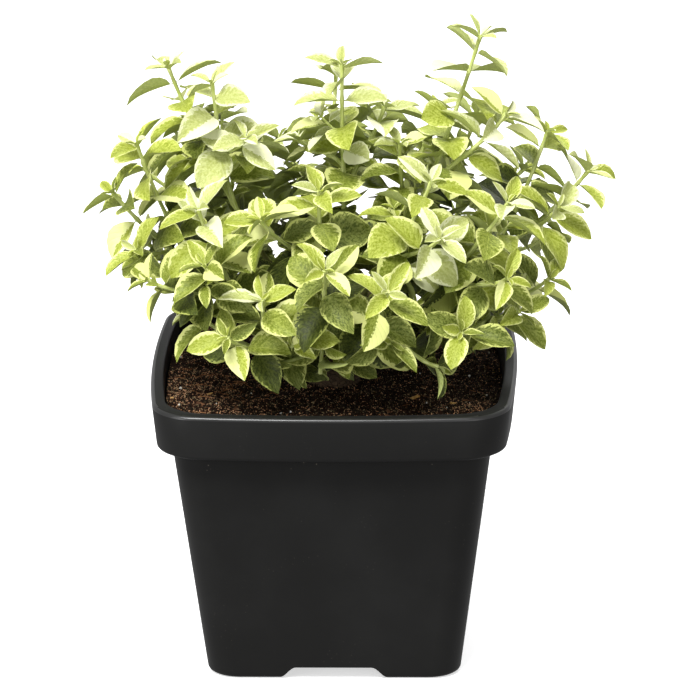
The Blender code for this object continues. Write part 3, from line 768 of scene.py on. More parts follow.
def strew(heap, template, draw, x, y, size, lift, tilt):
    """Lays a copy of a small solid on the soil, turned at random."""
    turn = Matrix.Rotation(draw.uniform(0, 2 * math.pi), 3, "Z")
    lean = Matrix.Rotation(draw.uniform(-tilt, tilt), 3, "X")
    roll = Matrix.Rotation(draw.uniform(-tilt, tilt), 3, "Y")
    matrix = np.array(turn @ (lean @ roll)) * size
    ground = soil_surface(x, y)
    place = np.array(ground) + np.array((0, 0, size * lift))
    heap.add(template.faces, template.places @ matrix.T + place, window_map(draw, template.map))


def strewn(seed, shapes, count, sizes, lift, tilt, gather=0, power=1):
    """A heap of copies of the small solids, laid all over the soil. A high power makes most of them small."""
    heap = Heap()
    draw = random.Random(seed)
    least, most = sizes
    for index in range(count):
        x, y = soil_spot(draw, gather)
        size = least + (most - least) * draw.random() ** power
        strew(heap, shapes[index % len(shapes)], draw, x, y, size, lift, tilt)
    return heap


crumb_shapes = [crumb_template(seed) for seed in range(CRUMB_SHAPES)]
flake_shapes = [flake_template(seed) for seed in range(FLAKE_SHAPES)]
for name, count, sizes, gather, colours in CRUMBS:
    heap = strewn(name, crumb_shapes, count, sizes, CRUMB_LIFT, math.pi, gather, CRUMB_SIZE_POWER)
    heap.piece(name, loose_paint(name.replace("_", " "), colours, CRUMB_ROUGHNESS), "potting_soil")

heap = strewn("perlite", crumb_shapes, PERLITE_COUNT, PERLITE_WIDTH, PERLITE_LIFT, math.pi)
heap.piece("perlite", loose_paint("white perlite", PERLITE_COLOURS, PERLITE_ROUGHNESS), "potting_soil")

heap = strewn("bark", flake_shapes, BARK_COUNT, BARK_LENGTH, BARK_LIFT, BARK_TILT)
heap.piece("bark_flakes", loose_paint("composted bark", BARK_COLOURS, BARK_ROUGHNESS), "potting_soil")

heap = Heap()
draw = random.Random("chips")
for shape, ((x, y), size) in zip(flake_shapes, CHIPS):
    strew(heap, shape, draw, x, y, size, CHIP_LIFT, CHIP_TILT)
heap.piece("golden_chips", loose_paint("golden wood chip", CHIP_COLOURS, CHIP_ROUGHNESS), "potting_soil")


def tube_template(sides, segments):
    """A rod along Z from 0 to 1 of radius 1, whose map is its height and its turn, out and back."""
    bm = bmesh.new()
    bmesh.ops.create_cone(
        bm, cap_ends=True, segments=sides, radius1=1, radius2=1, depth=1,
        matrix=Matrix.Translation((0, 0, 0.5)),
    )
    long_edges = [edge for edge in bm.edges if abs(edge.verts[0].co.z - edge.verts[1].co.z) > 0.5]
    bmesh.ops.subdivide_edges(bm, edges=long_edges, cuts=segments - 1)
    template = Template(bm)
    template.turns = np.arctan2(template.places[:, 1], template.places[:, 0])
    template.shares = template.places[:, 2]
    corners = np.array([index for face in template.faces for index in face])
    template.map = np.stack([np.abs(template.turns[corners]) / math.pi, template.shares[corners]], axis=1)
    return template


fibre_template = tube_template(FIBRE_SIDES, FIBRE_SEGMENTS)
heap = Heap()
draw = random.Random("fibres")
for index in range(FIBRE_COUNT):
    x, y = soil_spot(draw)
    if draw.random() < FIBRES_GATHERED:
        x = -GATHERED_FROM_AXIS * soil_edge - GATHERED_SPREAD[0] * abs(x)
        y = -GATHERED_SPREAD[1] * abs(y)
    length = draw.uniform(*FIBRE_LENGTH)
    heading = draw.uniform(0, 2 * math.pi)
    bend = draw.uniform(-FIBRE_BEND, FIBRE_BEND)
    arch = draw.uniform(0, FIBRE_ARCH)
    rings = []
    for share in fibre_template.shares:
        turn = heading + bend * share
        middle = Vector((x + math.cos(turn) * length * share, y + math.sin(turn) * length * share))
        middle = kept_on_soil(middle.x, middle.y)
        rings.append(soil_surface(*middle) + UP * (FIBRE_LIFT + arch * math.sin(math.pi * share)))
    side = np.array((-math.sin(heading), math.cos(heading), 0))
    around = np.outer(np.cos(fibre_template.turns), side) + np.outer(np.sin(fibre_template.turns), (0, 0, 1))
    places = np.array(rings) + around * FIBRE_RADIUS
    heap.add(fibre_template.faces, places, window_map(draw, fibre_template.map))
fibre_paint = loose_paint("rusty fibre", FIBRE_COLOURS, FIBRE_ROUGHNESS)
heap.piece("coir_fibres", fibre_paint, "potting_soil", SMOOTH_ANGLE)


# The plant's foot. A knobbly woody crown, a head on a broader shoulder, that sits in the soil. It is brown
# with cracked bark, and every bough grows from it.
GAP = 0.3 * MM
SHOULDER_RINGS = ((12.5 * MM, 0), (10.9 * MM, 3.5 * MM), (10.5 * MM, 5 * MM), (6.5 * MM, 9 * MM))
HEAD_RINGS = ((5.6 * MM, 7 * MM), (5.6 * MM, 11 * MM), (2 * MM, 13.1 * MM))
SEATS = {"outer": 12, "upper": 7}
CROWN_PROFILE = (  # radius and height over the soil
    (13.2 * MM, -2 * MM), (12.6 * MM, 0.6 * MM), (11.4 * MM, 2.6 * MM), (10.7 * MM, 4.6 * MM),
    (9.2 * MM, 6.5 * MM), (7.0 * MM, 8.6 * MM), (5.9 * MM, 10.2 * MM), (4.4 * MM, 11.8 * MM),
    (2.0 * MM, 12.9 * MM),
)
CROWN_SIDES = 56
CROWN_KNOBS = ((90, 1.5 * MM), (260, 0.7 * MM))
KNOB_RISE = 0.2 * MM
BARK_CRACKS = 520
BARK_WEATHERING = 240
BARK_DARK = (0.055, 0.035, 0.020)
BARK_LIGHT = (0.14, 0.092, 0.050)

crown_bm = bmesh.new()
bmesh.ops.create_circle(crown_bm, cap_ends=True, segments=CROWN_SIDES, radius=1)
crown_face = next(iter(crown_bm.faces))
for index, (radius, height) in enumerate(CROWN_PROFILE):
    if index:
        crown_face = extruded(crown_bm, crown_face)
    for vert in crown_face.verts:
        flat = Vector((vert.co.x, vert.co.y, 0)).normalized() * radius
        vert.co = flat + UP * (SOIL_LEVEL + height)
for vert in crown_bm.verts:
    outward = Vector((vert.co.x, vert.co.y, KNOB_RISE)).normalized()
    vert.co += outward * sum(depth * noise.noise(vert.co * scale) for scale, depth in CROWN_KNOBS)
bmesh.ops.recalc_face_normals(crown_bm, faces=crown_bm.faces)

bark = Finish("cracked bark", Roughness=0.85, Specular_IOR_Level=0.25)
spot = bark.place()
crack = spot.cells(BARK_CRACKS, "DISTANCE_TO_EDGE").rises(0.02, 0.2)
weathered = spot.grain(BARK_WEATHERING, 4, 0.65)
bark.feed(
    Base_Color=(crack * weathered.rises(0.3, 0.7)).mix(BARK_DARK, BARK_LIGHT),
    Roughness=0.78 + 0.16 * weathered,
    Normal=(crack + weathered).relief(0.8, 0.5 * MM),
)
crown = new_piece("woody_crown", crown_bm, bark.material)
crown.data.shade_smooth()
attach(crown, "root")
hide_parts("crown")


# The boughs. One tapering limb from each seat on the crown to where its foliage starts, brown and ridged at
# the foot and greener towards its tip. They follow the same curves as the shoots that go on from them.
BOUGH_FOOT_RADIUS = {"outer": 1.5 * MM, "upper": 1.25 * MM}
BOUGH_TIP_RADIUS = 1.15 * MM
BOUGH_SHARE = 0.42
BOUGH_SIDES = 12
BOUGH_SEGMENT = 0.9 * MM
BOUGH_ROOT = 2.5 * MM  # how far a bough starts inside the crown
BOUGH_RIDGES = ((420, 0.16), (1500, 0.10))
RIDGE_STRETCH = 3
BOUGH_WINDOWS = 5
BOUGH_FLECKS = 26
STEM_TIP_RADIUS = 0.78 * MM
SHOOT_FOOT_RADIUS = 1.05 * MM
FIRST_SHOOT_SHARE = 0.10
NEXT_SHOOT_SHARE = 0.13
HANDLE_SHARE = 0.36
UPTURN = 0.35
LENGTH_STEPS = 24
BOUGH_BROWN = (0.13, 0.085, 0.045)
BOUGH_GREEN = (0.23, 0.25, 0.075)
FOLIAGE = {  # tier of the crown's seats, then each shoot's tip in millimetres, the lead shoot first
    "left_tall": ("upper", (-72, 15, 258), (-52, -6, 257), (-37, -16, 235)),
    "left_far": ("outer", (-96, -2, 206), (-85, -8, 230), (-85, -22, 186)),
    "left_front": ("outer", (-54, -58, 191), (-57, -42, 211), (-79, -42, 179)),
    "left_low": ("outer", (-44, -66, 161), (-29, -66, 178), (-59, -34, 162)),
    "centre_left": ("upper", (-5, -42, 219), (-30, -48, 208)),
    "front_centre": ("outer", (-2, -72, 193), (-17, -60, 155), (-5, -46, 138)),
    "front_right": ("outer", (25, -76, 185), (26, -64, 158), (46, -52, 143)),
    "centre_right": ("upper", (43, -38, 222), (47, -58, 203)),
    "right_tall": ("upper", (64, 5, 275), (75, -10, 244), (54, 8, 221)),
    "centre_tall": ("upper", (4, 4, 262), (22, 18, 239), (-16, 12, 226)),
    "upper_right": ("upper", (44, 30, 236), (29, -2, 228)),
    "right_far": ("outer", (111, 2, 215), (93, 10, 230), (98, -16, 204)),
    "right_front": ("outer", (76, -42, 214), (76, -58, 185)),
    "right_low": ("outer", (94, -24, 174), (81, -42, 165), (56, -68, 164)),
    "back_left": ("outer", (-65, 60, 220), (-85, 38, 205), (-42, 78, 203)),
    "back_centre": ("upper", (0, 50, 245), (-26, 60, 212), (12, 80, 220)),
    "back_right": ("outer", (62, 62, 222), (83, 40, 204), (37, 82, 200)),
    "back_low_left": ("outer", (-52, 88, 170), (-83, 30, 172), (-18, 92, 184), (-78, 62, 158)),
    "back_low_right": ("outer", (53, 88, 168), (91, 44, 170), (15, 94, 158), (77, 66, 156)),
}
DRAW = 344  # every shoot's seed has this number in it


class Path:
    """A cubic curve from a foot to a tip, sampled by its share of the way."""

    def __init__(self, foot, foot_direction, tip, tip_direction):
        handle = (tip - foot).length * HANDLE_SHARE
        self.points = (foot, foot + foot_direction * handle, tip - tip_direction * handle, tip)
        places = [self.at(step / LENGTH_STEPS) for step in range(LENGTH_STEPS + 1)]
        self.length = sum((b - a).length for a, b in zip(places, places[1:]))

    def at(self, share):
        a, b, c, d = self.points
        rest = 1 - share
        return a * rest**3 + b * (3 * rest**2 * share) + c * (3 * rest * share**2) + d * share**3

    def direction(self, share):
        a, b, c, d = self.points
        rest = 1 - share
        slope = (b - a) * rest**2 + (c - b) * (2 * rest * share) + (d - c) * share**2
        return slope.normalized()

    def across(self):
        """A level direction across the way that the path reaches."""
        reach = self.points[-1] - self.points[0]
        return reach.cross(UP).normalized()


class Shoot:
    """A stretch of a path that carries leaves, with its radius at each end and its seed."""

    def __init__(self, name, path, start, foot_radius, tip_radius):
        self.name = name
        self.seed = f"{name} {DRAW}"
        self.path = path
        self.start = start
        self.foot_radius = foot_radius
        self.tip_radius = tip_radius
        self.length = path.length * (1 - start)

    def share(self, back_from_tip):
        """The path's share at a distance back from the tip."""
        return 1 - back_from_tip / self.path.length


def tip_direction(foot, tip):
    """Shoots lean the way they reach and turn up towards the light at their tips."""
    lean = (tip - foot).normalized()
    return (lean + UP * UPTURN).normalized()


def over_soil(rings):
    """The same rings, with their heights taken from the pot's underside."""
    return [(radius, SOIL_LEVEL + GAP + height) for radius, height in rings]


def seats_on(sides, rings):
    """Middle and outward normal of each sloping facet between the last two rings."""
    lower, upper = over_soil(rings)[-2:]
    seats = []
    half_turn = math.pi / sides
    for index in range(sides):
        turn = half_turn * (2 * index + 1)
        outward = Vector((math.cos(turn), math.sin(turn), 0))
        low = outward * lower[0] * math.cos(half_turn) + UP * lower[1]
        high = outward * upper[0] * math.cos(half_turn) + UP * upper[1]
        along = (high - low).normalized()
        seats.append(((low + high) / 2, along.cross(UP.cross(outward)) * -1))
    return seats


def matched_seats(names, seats):
    """Gives each named mass a seat: both in order round the axis, turned to the best match."""
    def turn_of(point):
        return math.atan2(point.y, point.x)

    tips = {name: Vector(FOLIAGE[name][1]) for name in names}
    names = sorted(names, key=lambda name: turn_of(tips[name]))
    seats = sorted(seats, key=lambda seat: turn_of(seat[0]))

    def misfit(shift):
        total = 0
        for index, name in enumerate(names):
            seat = seats[(index + shift) % len(seats)]
            total += 1 - math.cos(turn_of(tips[name]) - turn_of(seat[0]))
        return total

    best = min(range(len(seats)), key=misfit)
    return {name: seats[(index + best) % len(seats)] for index, name in enumerate(names)}


def planned_shoots():
    """For each mass, its tier, its bough's path and the shoots that go on from it."""
    plan = {}
    for tier, rings in (("outer", SHOULDER_RINGS), ("upper", HEAD_RINGS)):
        names = [name for name, entry in FOLIAGE.items() if entry[0] == tier]
        for name, (seat, normal) in matched_seats(names, seats_on(SEATS[tier], rings)).items():
            foot = seat + normal * GAP
            tips = [Vector(tip) * MM for tip in FOLIAGE[name][1:]]
            lead_path = Path(foot, normal, tips[0], tip_direction(foot, tips[0]))
            shoots = [Shoot(f"{name} 0", lead_path, BOUGH_SHARE, BOUGH_TIP_RADIUS, STEM_TIP_RADIUS)]
            for index, tip in enumerate(tips[1:]):
                branch = BOUGH_SHARE + FIRST_SHOOT_SHARE + index * NEXT_SHOOT_SHARE
                origin = lead_path.at(branch)
                set_off = (lead_path.direction(branch) + (tip - origin).normalized()).normalized()
                path = Path(origin, set_off, tip, tip_direction(origin, tip))
                shoots.append(Shoot(f"{name} {index + 1}", path, 0, SHOOT_FOOT_RADIUS, STEM_TIP_RADIUS))
            plan[name] = (tier, lead_path, shoots)
    return plan


tube_templates = {}


def tube_along(path, start, end, segment, sides, radius_at):
    """A round stem along part of a path, as a tube template with its corners' places."""
    count = max(2, round(path.length * (end - start) / segment))
    if (sides, count) not in tube_templates:
        tube_templates[sides, count] = tube_template(sides, count)
    template = tube_templates[sides, count]
    rings = np.rint(template.shares * count).astype(int)
    across = path.across()
    middles = []
    sides_of = []
    tops = []
    radii = []
    for index in range(count + 1):
        share = start + (end - start) * index / count
        along = path.direction(share)
        top = across.cross(along).normalized()
        middles.append(path.at(share))
        sides_of.append(along.cross(top))
        tops.append(top)
        radii.append(radius_at(share))
    middles, sides_of, tops = (np.array(values)[rings] for values in (middles, sides_of, tops))
    around = np.cos(template.turns)[:, None] * sides_of + np.sin(template.turns)[:, None] * tops
    return template, middles, around * np.array(radii)[rings][:, None]


def bough_girth(x, y, z):
    """How far the bark's ridges push a point of a bough out, as a share of its radius. They run along it."""
    place = Vector((x, y, z / RIDGE_STRETCH))
    return 1 + sum(depth * noise.noise(place * scale) for scale, depth in BOUGH_RIDGES)


plan = planned_shoots()
heap = Heap()
for index, (name, (tier, path, shoots)) in enumerate(plan.items()):
    foot_radius = BOUGH_FOOT_RADIUS[tier]
    start = -BOUGH_ROOT / path.length
    template, middles, arms = tube_along(
        path, start, BOUGH_SHARE, BOUGH_SEGMENT, BOUGH_SIDES,
        lambda share: foot_radius + (BOUGH_TIP_RADIUS - foot_radius) * share / BOUGH_SHARE,
    )
    ridges = [bough_girth(*place) for place in middles + arms]
    window = (index % BOUGH_WINDOWS, index // BOUGH_WINDOWS)
    corner_map = in_window(window, BOUGH_WINDOWS, template.map)
    heap.add(template.faces, middles + arms * np.array(ridges)[:, None], corner_map)

limb_bark = Finish("greening bark", Roughness=0.7, Specular_IOR_Level=0.3)
spot = limb_bark.place("UV")
way_up = (spot.part(1) * BOUGH_WINDOWS).math("FRACT")
flecks = spot.grain(BOUGH_WINDOWS * BOUGH_FLECKS, 4, 0.6)
limb_bark.feed(
    Base_Color=(way_up.rises(0.25, 0.95) * 0.8 + 0.5 * (flecks - 0.5)).mix(BOUGH_BROWN, BOUGH_GREEN),
    Roughness=0.6 + 0.25 * flecks,
    Normal=flecks.relief(0.6, 0.25 * MM),
)
boughs = heap.piece("boughs", limb_bark.material, "woody_bark", SMOOTH_ANGLE)
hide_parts(*("bough_" + name for name in FOLIAGE))


# The shoots and twigs. Yellow-green stems that go on from the boughs, a little swollen where a pair of leaves
# sits, and finer side twigs from the axils of the lower leaves. They are all one joined mesh.
SHOOT_SIDES = 7
SHOOT_SEGMENT = 2.2 * MM
NODE_SWELLING = 0.35
NODE_SWELLING_LENGTH = 1.1 * MM
SIDE_TWIG_FROM = 31 * MM  # back from a shoot's tip
SIDE_TWIG_SPACING = 13 * MM
SIDE_TWIG_CHANCE = 0.9
SIDE_TWIG_FIRST_SHARE = 0.2  # of a lead shoot's path, bough and all
SIDE_TWIG_LENGTH = (8 * MM, 22 * MM)
SIDE_TWIG_RADII = (0.58 * MM, 0.42 * MM)
SIDE_TWIG_LEAN = (1, 0.55, 0.35)  # outwards, along the shoot and up
STEM_WINDOWS = 6
STEM_STREAKS = 9
STEM_GREEN = (0.42, 0.49, 0.11)
STEM_YELLOW = (0.68, 0.73, 0.30)
SPACING_RANGE = (0.85, 1.15)
TURN_RANGE = (-0.2, 0.2)
ANGLE_RANGE = (-9, 9)

# The leaves. Each is a thin closed blade on a short stalk, folded along its midrib and arched towards its
# tip. They sit in pairs, each pair crosswise to the one before, and crowd into a rosette at every tip.
LEAF_LENGTH = 21.5 * MM
LEAF_WIDTH = 13.8 * MM
YOUNG_LENGTH = 1.06  # of that length, for a new leaf
YOUNG_WIDTH = 0.8
AGE_SHORTENS = 0.16
AGE_WIDENS = 0.4
WIDTH_RANGE = (-0.12, 0.12)
YOUNG_FOLD = 34  # degrees
AGE_UNFOLDS = 20
FOLD_RANGE = (-7, 9)
LEAF_DROOP = 0.16
YOUNG_DROOP = 0.3
DROOP_RANGE = (-0.05, 0.07)
CURL_FROM = 0.66  # how far along a leaf its tip starts to curl down
LEAF_CURLS = (0, 0.8)
LEAF_SWEEPS = (-0.09, 0.09)
LEAF_TWISTS = (-0.45, 0.45)
LEAF_WAVES = (0.2 * MM, 0.8 * MM)
WAVE_TURNS = 2.6  # half turns of the margins' wave along a leaf
WAVE_OFFSET = 1.3  # how far apart the two margins' waves are
BASE_FULLNESS = (0.58, 0.82)
TIP_FULLNESS = (0.74, 1.02)
LEAF_TURN = 0.5  # how far leaves turn from the way their shoot holds them to facing out from the plant's foot
LEAF_CENTRE = Vector((0, 14 * MM, 95 * MM))
LEAF_ROLLS = (-0.5, 0.5)  # how far a leaf rolls about its own length
LEAF_SIZES = (0.88, 1.14)
LEAF_ROWS = (0, 0.09, 0.16, 0.28, 0.42, 0.58, 0.74, 0.88, 1)
LEAF_COLUMNS = 4
LEAF_WINDOWS = 5  # windows each way on the leaves' map, with the undersides in the last row
CARD_ROWS = (0, 0.3, 0.65, 1)
CARD_COLUMNS = 2
STALK_SHARE = 0.09
STALK_HALF_WIDTH = 0.36 * MM
STALK_THICKNESS = 0.55 * MM
BLADE_THICKNESS = 0.24 * MM
TIP_PAIRS = ((0.2 * MM, 0.28, 14), (0.8 * MM, 0.5, 33))  # back from the tip, size and angle from the stem
ROSETTE_PAIRS = ((1.6 * MM, 0.78, 52), (7.5 * MM, 0.97, 68), (16 * MM, 1.02, 76))
TWIG_PAIRS = ((0.9 * MM, 0.58, 50), (4.5 * MM, 0.8, 66), (10 * MM, 0.92, 76), (17 * MM, 0.96, 80))
NODE_SPACING = 10 * MM
LOWER_LEAF_ANGLE = 80
LOWER_LEAF_SIZES = (0.92, 1.12)
BARE_FOOT = 7 * MM
TWIG_BARE_FOOT = 2.5 * MM
LEAF_TRIES = (  # how much more a leaf is turned, and its share of its size
    (0, 1), (0.4, 1), (-0.4, 1), (0, 0.8), (0.6, 0.8), (-0.6, 0.8), (0, 0.62), (1.1, 0.7),
)
LEAF_CLEARANCE = 0.2 * MM
STEEPEST_LEAF = -0.62  # how far down the way that a leaf points may go
ROOM_CUBE = 16 * MM
RIM_CLEARANCE = 1.2 * MM
SOIL_CLEARANCE = 2.4 * MM
AGE_REACH = 55 * MM  # back from a tip: leaves further back count as fully grown
NEW_LEAF_SIZE = 0.5
SIZE_AGES = 0.5
LEAF_SMOOTH_ANGLE = math.radians(75)
FILED_BOUGH_SIDES = 4
FILED_BOUGH_SEGMENT = 8.8 * MM


def leaf_template(rows, columns, two_sided):
    """A leaf spread out flat: Y is the share of its length, X runs from -1 to 1 across it, Z is its side."""
    bm = bmesh.new()
    bmesh.ops.create_grid(bm, x_segments=columns, y_segments=len(rows) - 1, size=1)
    for vert in bm.verts:
        vert.co.y = rows[round((vert.co.y + 1) / 2 * (len(rows) - 1))]
    tip = [vert for vert in bm.verts if vert.co.y == 1]
    bmesh.ops.pointmerge(bm, verts=tip, merge_co=(0, 1, 0))
    if two_sided:
        for vert in bm.verts:
            vert.co.z = 0 if vert.is_boundary else 1
        under = bmesh.ops.duplicate(bm, geom=bm.verts[:] + bm.edges[:] + bm.faces[:])["geom"]
        for item in under:
            if isinstance(item, bmesh.types.BMVert):
                item.co.z *= -1
        bmesh.ops.remove_doubles(bm, verts=bm.verts, dist=MM)
        bmesh.ops.recalc_face_normals(bm, faces=bm.faces)
    template = Template(bm)
    template.across, template.along, template.layer = template.places.T
    corners = [index for face in template.faces for index in face]
    template.map = np.stack([(template.across[corners] + 1) / 2, template.along[corners]], axis=1)
    beneath = [template.layer[face].sum() < 0 for face in template.faces]
    template.corner_beneath = np.repeat(beneath, [len(face) for face in template.faces])
    return template


class Leaf:
    """A leaf: where it starts, the ways it points and faces, its size and age, and how its blade is bent."""

    def __init__(self, root, along, top, size, age, draw):
        self.root = np.array(root)
        self.along = np.array(along)
        self.top = np.array(top)
        self.side = np.cross(self.along, self.top)
        self.age = age
        self.length = LEAF_LENGTH * size * (YOUNG_LENGTH - AGE_SHORTENS * age)
        self.width = LEAF_WIDTH * size * (YOUNG_WIDTH + AGE_WIDENS * age + draw.uniform(*WIDTH_RANGE))
        self.fold = math.radians(YOUNG_FOLD - AGE_UNFOLDS * age + draw.uniform(*FOLD_RANGE))
        self.droop = LEAF_DROOP * (YOUNG_DROOP + age) + draw.uniform(*DROOP_RANGE)
        self.curl = draw.uniform(*LEAF_CURLS)
        self.sweep = draw.uniform(*LEAF_SWEEPS)
        self.twist = draw.uniform(*LEAF_TWISTS)
        self.wave = draw.uniform(*LEAF_WAVES) * size
        self.phase = draw.uniform(0, 2 * math.pi)
        self.base_fullness = draw.uniform(*BASE_FULLNESS)
        self.tip_fullness = draw.uniform(*TIP_FULLNESS)
        self.window = (draw.randrange(LEAF_WINDOWS), draw.randrange(LEAF_WINDOWS - 1))

    def places(self, template):
        """Where the corners of a flat leaf template lie on this leaf."""
        share = template.along[:, None]
        across = template.across[:, None]
        blade = np.clip((share - STALK_SHARE) / (1 - STALK_SHARE), 0, 1)
        fullest = self.base_fullness / (self.base_fullness + self.tip_fullness)
        full = fullest**self.base_fullness * (1 - fullest) ** self.tip_fullness
        outline = blade**self.base_fullness * (1 - blade) ** self.tip_fullness / full
        half_width = np.maximum(self.width / 2 * outline, STALK_HALF_WIDTH)
        thickness = np.where(share <= STALK_SHARE, STALK_THICKNESS, BLADE_THICKNESS)
        ripple = np.sin(WAVE_TURNS * math.pi * share + self.phase + WAVE_OFFSET * np.sign(across))
        lift = np.abs(across) * half_width * math.sin(self.fold)
        lift += template.layer[:, None] * thickness / 2 + ripple * self.wave * across**2 * outline
        out = across * half_width * math.cos(self.fold)
        curling = np.clip(share - CURL_FROM, 0, 1)
        slope = 2 * self.droop * share + 2 * self.curl * curling
        sag = self.droop * share**2 + self.curl * curling**2
        reach = self.along * share - self.top * sag + self.side * self.sweep * share**2
        middle = self.root + reach * self.length
        top = self.top + self.along * slope
        top /= np.linalg.norm(top, axis=1, keepdims=True)
        turn = self.twist * share
        side = self.side * np.cos(turn) + top * np.sin(turn)
        top = top * np.cos(turn) - self.side * np.sin(turn)
        return middle + side * out + top * lift

    def corner_map(self, template):
        """Map places for the faces' corners: the upper side in one window and the underside in another."""
        column, row = self.window
        windows = np.where(template.corner_beneath[:, None], (column, LEAF_WINDOWS - 1), (column, row))
        return in_window(windows, LEAF_WINDOWS, template.map)


leaf_mesh = leaf_template(LEAF_ROWS, LEAF_COLUMNS, two_sided=True)
leaf_card = leaf_template(CARD_ROWS, CARD_COLUMNS, two_sided=False)


class Room:
    """What already takes up room, filed by cubes of space, so that no leaf passes through another."""

    def __init__(self):
        self.cubes = {}

    def reached(self, places):
        low = np.floor(places.min(axis=0) / ROOM_CUBE).astype(int)
        high = np.floor(places.max(axis=0) / ROOM_CUBE).astype(int)
        return [
            (x, y, z)
            for x in range(low[0], high[0] + 1)
            for y in range(low[1], high[1] + 1)
            for z in range(low[2], high[2] + 1)
        ]

    def takes(self, places, faces, owner, own_owners=None):
        """Files a small surface under its owner if it is clear of all but its own. Says whether it was."""
        tree = BVHTree.FromPolygons(places.tolist(), faces, epsilon=LEAF_CLEARANCE)
        cubes = self.reached(places)
        if own_owners is not None:
            for cube in cubes:
                for other_owner, other_tree in self.cubes.get(cube, ()):
                    if other_owner not in own_owners and tree.overlap(other_tree):
                        return False
        for cube in cubes:
            self.cubes.setdefault(cube, []).append((owner, tree))
        return True


def clear_of_pot(places):
    """Whether all of a leaf is over the rim, or inside the wall and over the soil."""
    half_width = soil_edge - SIDE_BOW - RIM_CLEARANCE
    radius = corner_radius(half_width)
    for x, y, z in places:
        if z > POT_HEIGHT + RIM_CLEARANCE:
            continue
        if math.hypot(max(abs(x) - half_width + radius, 0), max(abs(y) - half_width + radius, 0)) > radius:
            return False
        if z < soil_surface(x, y).z + SOIL_CLEARANCE:
            return False
    return True


def leaf_pairs(shoot):
    """Distances back from the shoot's tip, with the leaves' size and angle from the stem there."""
    pairs = list(ROSETTE_PAIRS)
    draw = random.Random(shoot.seed + " nodes")
    back = pairs[-1][0] + NODE_SPACING * draw.uniform(*SPACING_RANGE)
    while back < shoot.length - BARE_FOOT:
        pairs.append((back, draw.uniform(*LOWER_LEAF_SIZES), LOWER_LEAF_ANGLE))
        back += NODE_SPACING * draw.uniform(*SPACING_RANGE)
    return list(enumerate(pairs)) + [(-index - 1, pair) for index, pair in enumerate(reversed(TIP_PAIRS))]


def twig_pairs(twig):
    """The same for a side twig, which has a smaller rosette."""
    pairs = [pair for pair in TWIG_PAIRS if pair[0] < twig.length - TWIG_BARE_FOOT]
    return [(-1, TIP_PAIRS[0])] + list(enumerate(pairs))


def leaf_at(shoot, back, size, angle, turn, age, draw):
    """A leaf on a shoot: its turn about the stem and its angle from it, turned a little towards the light."""
    share = shoot.share(back)
    axis = shoot.path.direction(share)
    side = Matrix.Rotation(turn, 3, axis) @ axis.orthogonal().normalized()
    lean = math.radians(angle)
    along = side * math.sin(lean) + axis * math.cos(lean)
    top = axis * math.sin(lean) - side * math.cos(lean)
    foot = shoot.path.at(share)
    turned = Quaternion().slerp(top.rotation_difference(foot - LEAF_CENTRE), LEAF_TURN)
    turned = turned @ Quaternion(along, draw.uniform(*LEAF_ROLLS))
    return Leaf(foot, turned @ along, turned @ top, size, age, draw)


def grow_leaves(shoot, pairs, room, leaves):
    """Adds the leaves of a shoot that find room, each tried straight and then turned or smaller."""
    first_turn = random.Random(shoot.seed + " turns").uniform(0, math.pi)
    for index, (back, size, angle) in pairs:
        node = f"{shoot.seed} node {index}"
        draw = random.Random(node)
        age = min(back / AGE_REACH + max(size - NEW_LEAF_SIZE, 0) * SIZE_AGES, 1)
        for side in range(2):
            turn = first_turn + index * math.pi / 2 + side * math.pi + draw.uniform(*TURN_RANGE)
            lean = angle + draw.uniform(*ANGLE_RANGE)
            for more_turn, smaller in LEAF_TRIES:
                shape_draw = random.Random(f"{node} {side} shape")
                leaf_size = size * smaller * shape_draw.uniform(*LEAF_SIZES)
                leaf = leaf_at(shoot, back, leaf_size, lean, turn + more_turn, age, shape_draw)
                if leaf.along[2] < STEEPEST_LEAF:
                    continue
                places = leaf.places(leaf_card)
                if clear_of_pot(places) and room.takes(places, leaf_card.faces, node, (shoot.name, node)):
                    leaves.append(leaf)
                    break


def side_twigs(shoot):
    """Short twigs from the axils of a shoot's lower leaves, in crosswise pairs like the leaves."""
    draw = random.Random(shoot.seed + " side twigs")
    first_turn = draw.uniform(0, math.pi)
    first_share = SIDE_TWIG_FIRST_SHARE if shoot.start else SIDE_TWIG_FIRST_SHARE / 2
    back = SIDE_TWIG_FROM
    index = 0
    outwards, onwards, upwards = SIDE_TWIG_LEAN
    while shoot.share(back) > first_share:
        share = shoot.share(back)
        foot = shoot.path.at(share)
        axis = shoot.path.direction(share)
        for side in range(2):
            turn = first_turn + index * math.pi / 2 + side * math.pi + draw.uniform(*TURN_RANGE)
            away = Matrix.Rotation(turn, 3, axis) @ axis.orthogonal().normalized()
            length = draw.uniform(*SIDE_TWIG_LENGTH)
            if draw.random() > SIDE_TWIG_CHANCE:
                continue
            lean = (away * outwards + axis * onwards + UP * upwards).normalized()
            tip = foot + lean * length
            set_off = (away + axis * onwards).normalized()
            path = Path(foot, set_off, tip, tip_direction(foot, tip))
            yield Shoot(f"{shoot.seed} twig {index} {side}", path, 0, *SIDE_TWIG_RADII)
        back += SIDE_TWIG_SPACING * draw.uniform(*SPACING_RANGE)
        index += 1


def stem_surface(shoot, pairs, start):
    """The shoot's stem as tube corners, swollen at its pairs of leaves."""
    swellings = [shoot.share(back) for _, (back, _, _) in pairs]
    spread = NODE_SWELLING_LENGTH / shoot.path.length

    def radius_at(share):
        along = (share - shoot.start) / (1 - shoot.start)
        radius = shoot.foot_radius + (shoot.tip_radius - shoot.foot_radius) * along
        near = max((math.exp(-((share - place) / spread) ** 2) for place in swellings), default=0)
        return radius * (1 + NODE_SWELLING * near)

    template, middles, arms = tube_along(shoot.path, start, 1, SHOOT_SEGMENT, SHOOT_SIDES, radius_at)
    return template, middles + arms


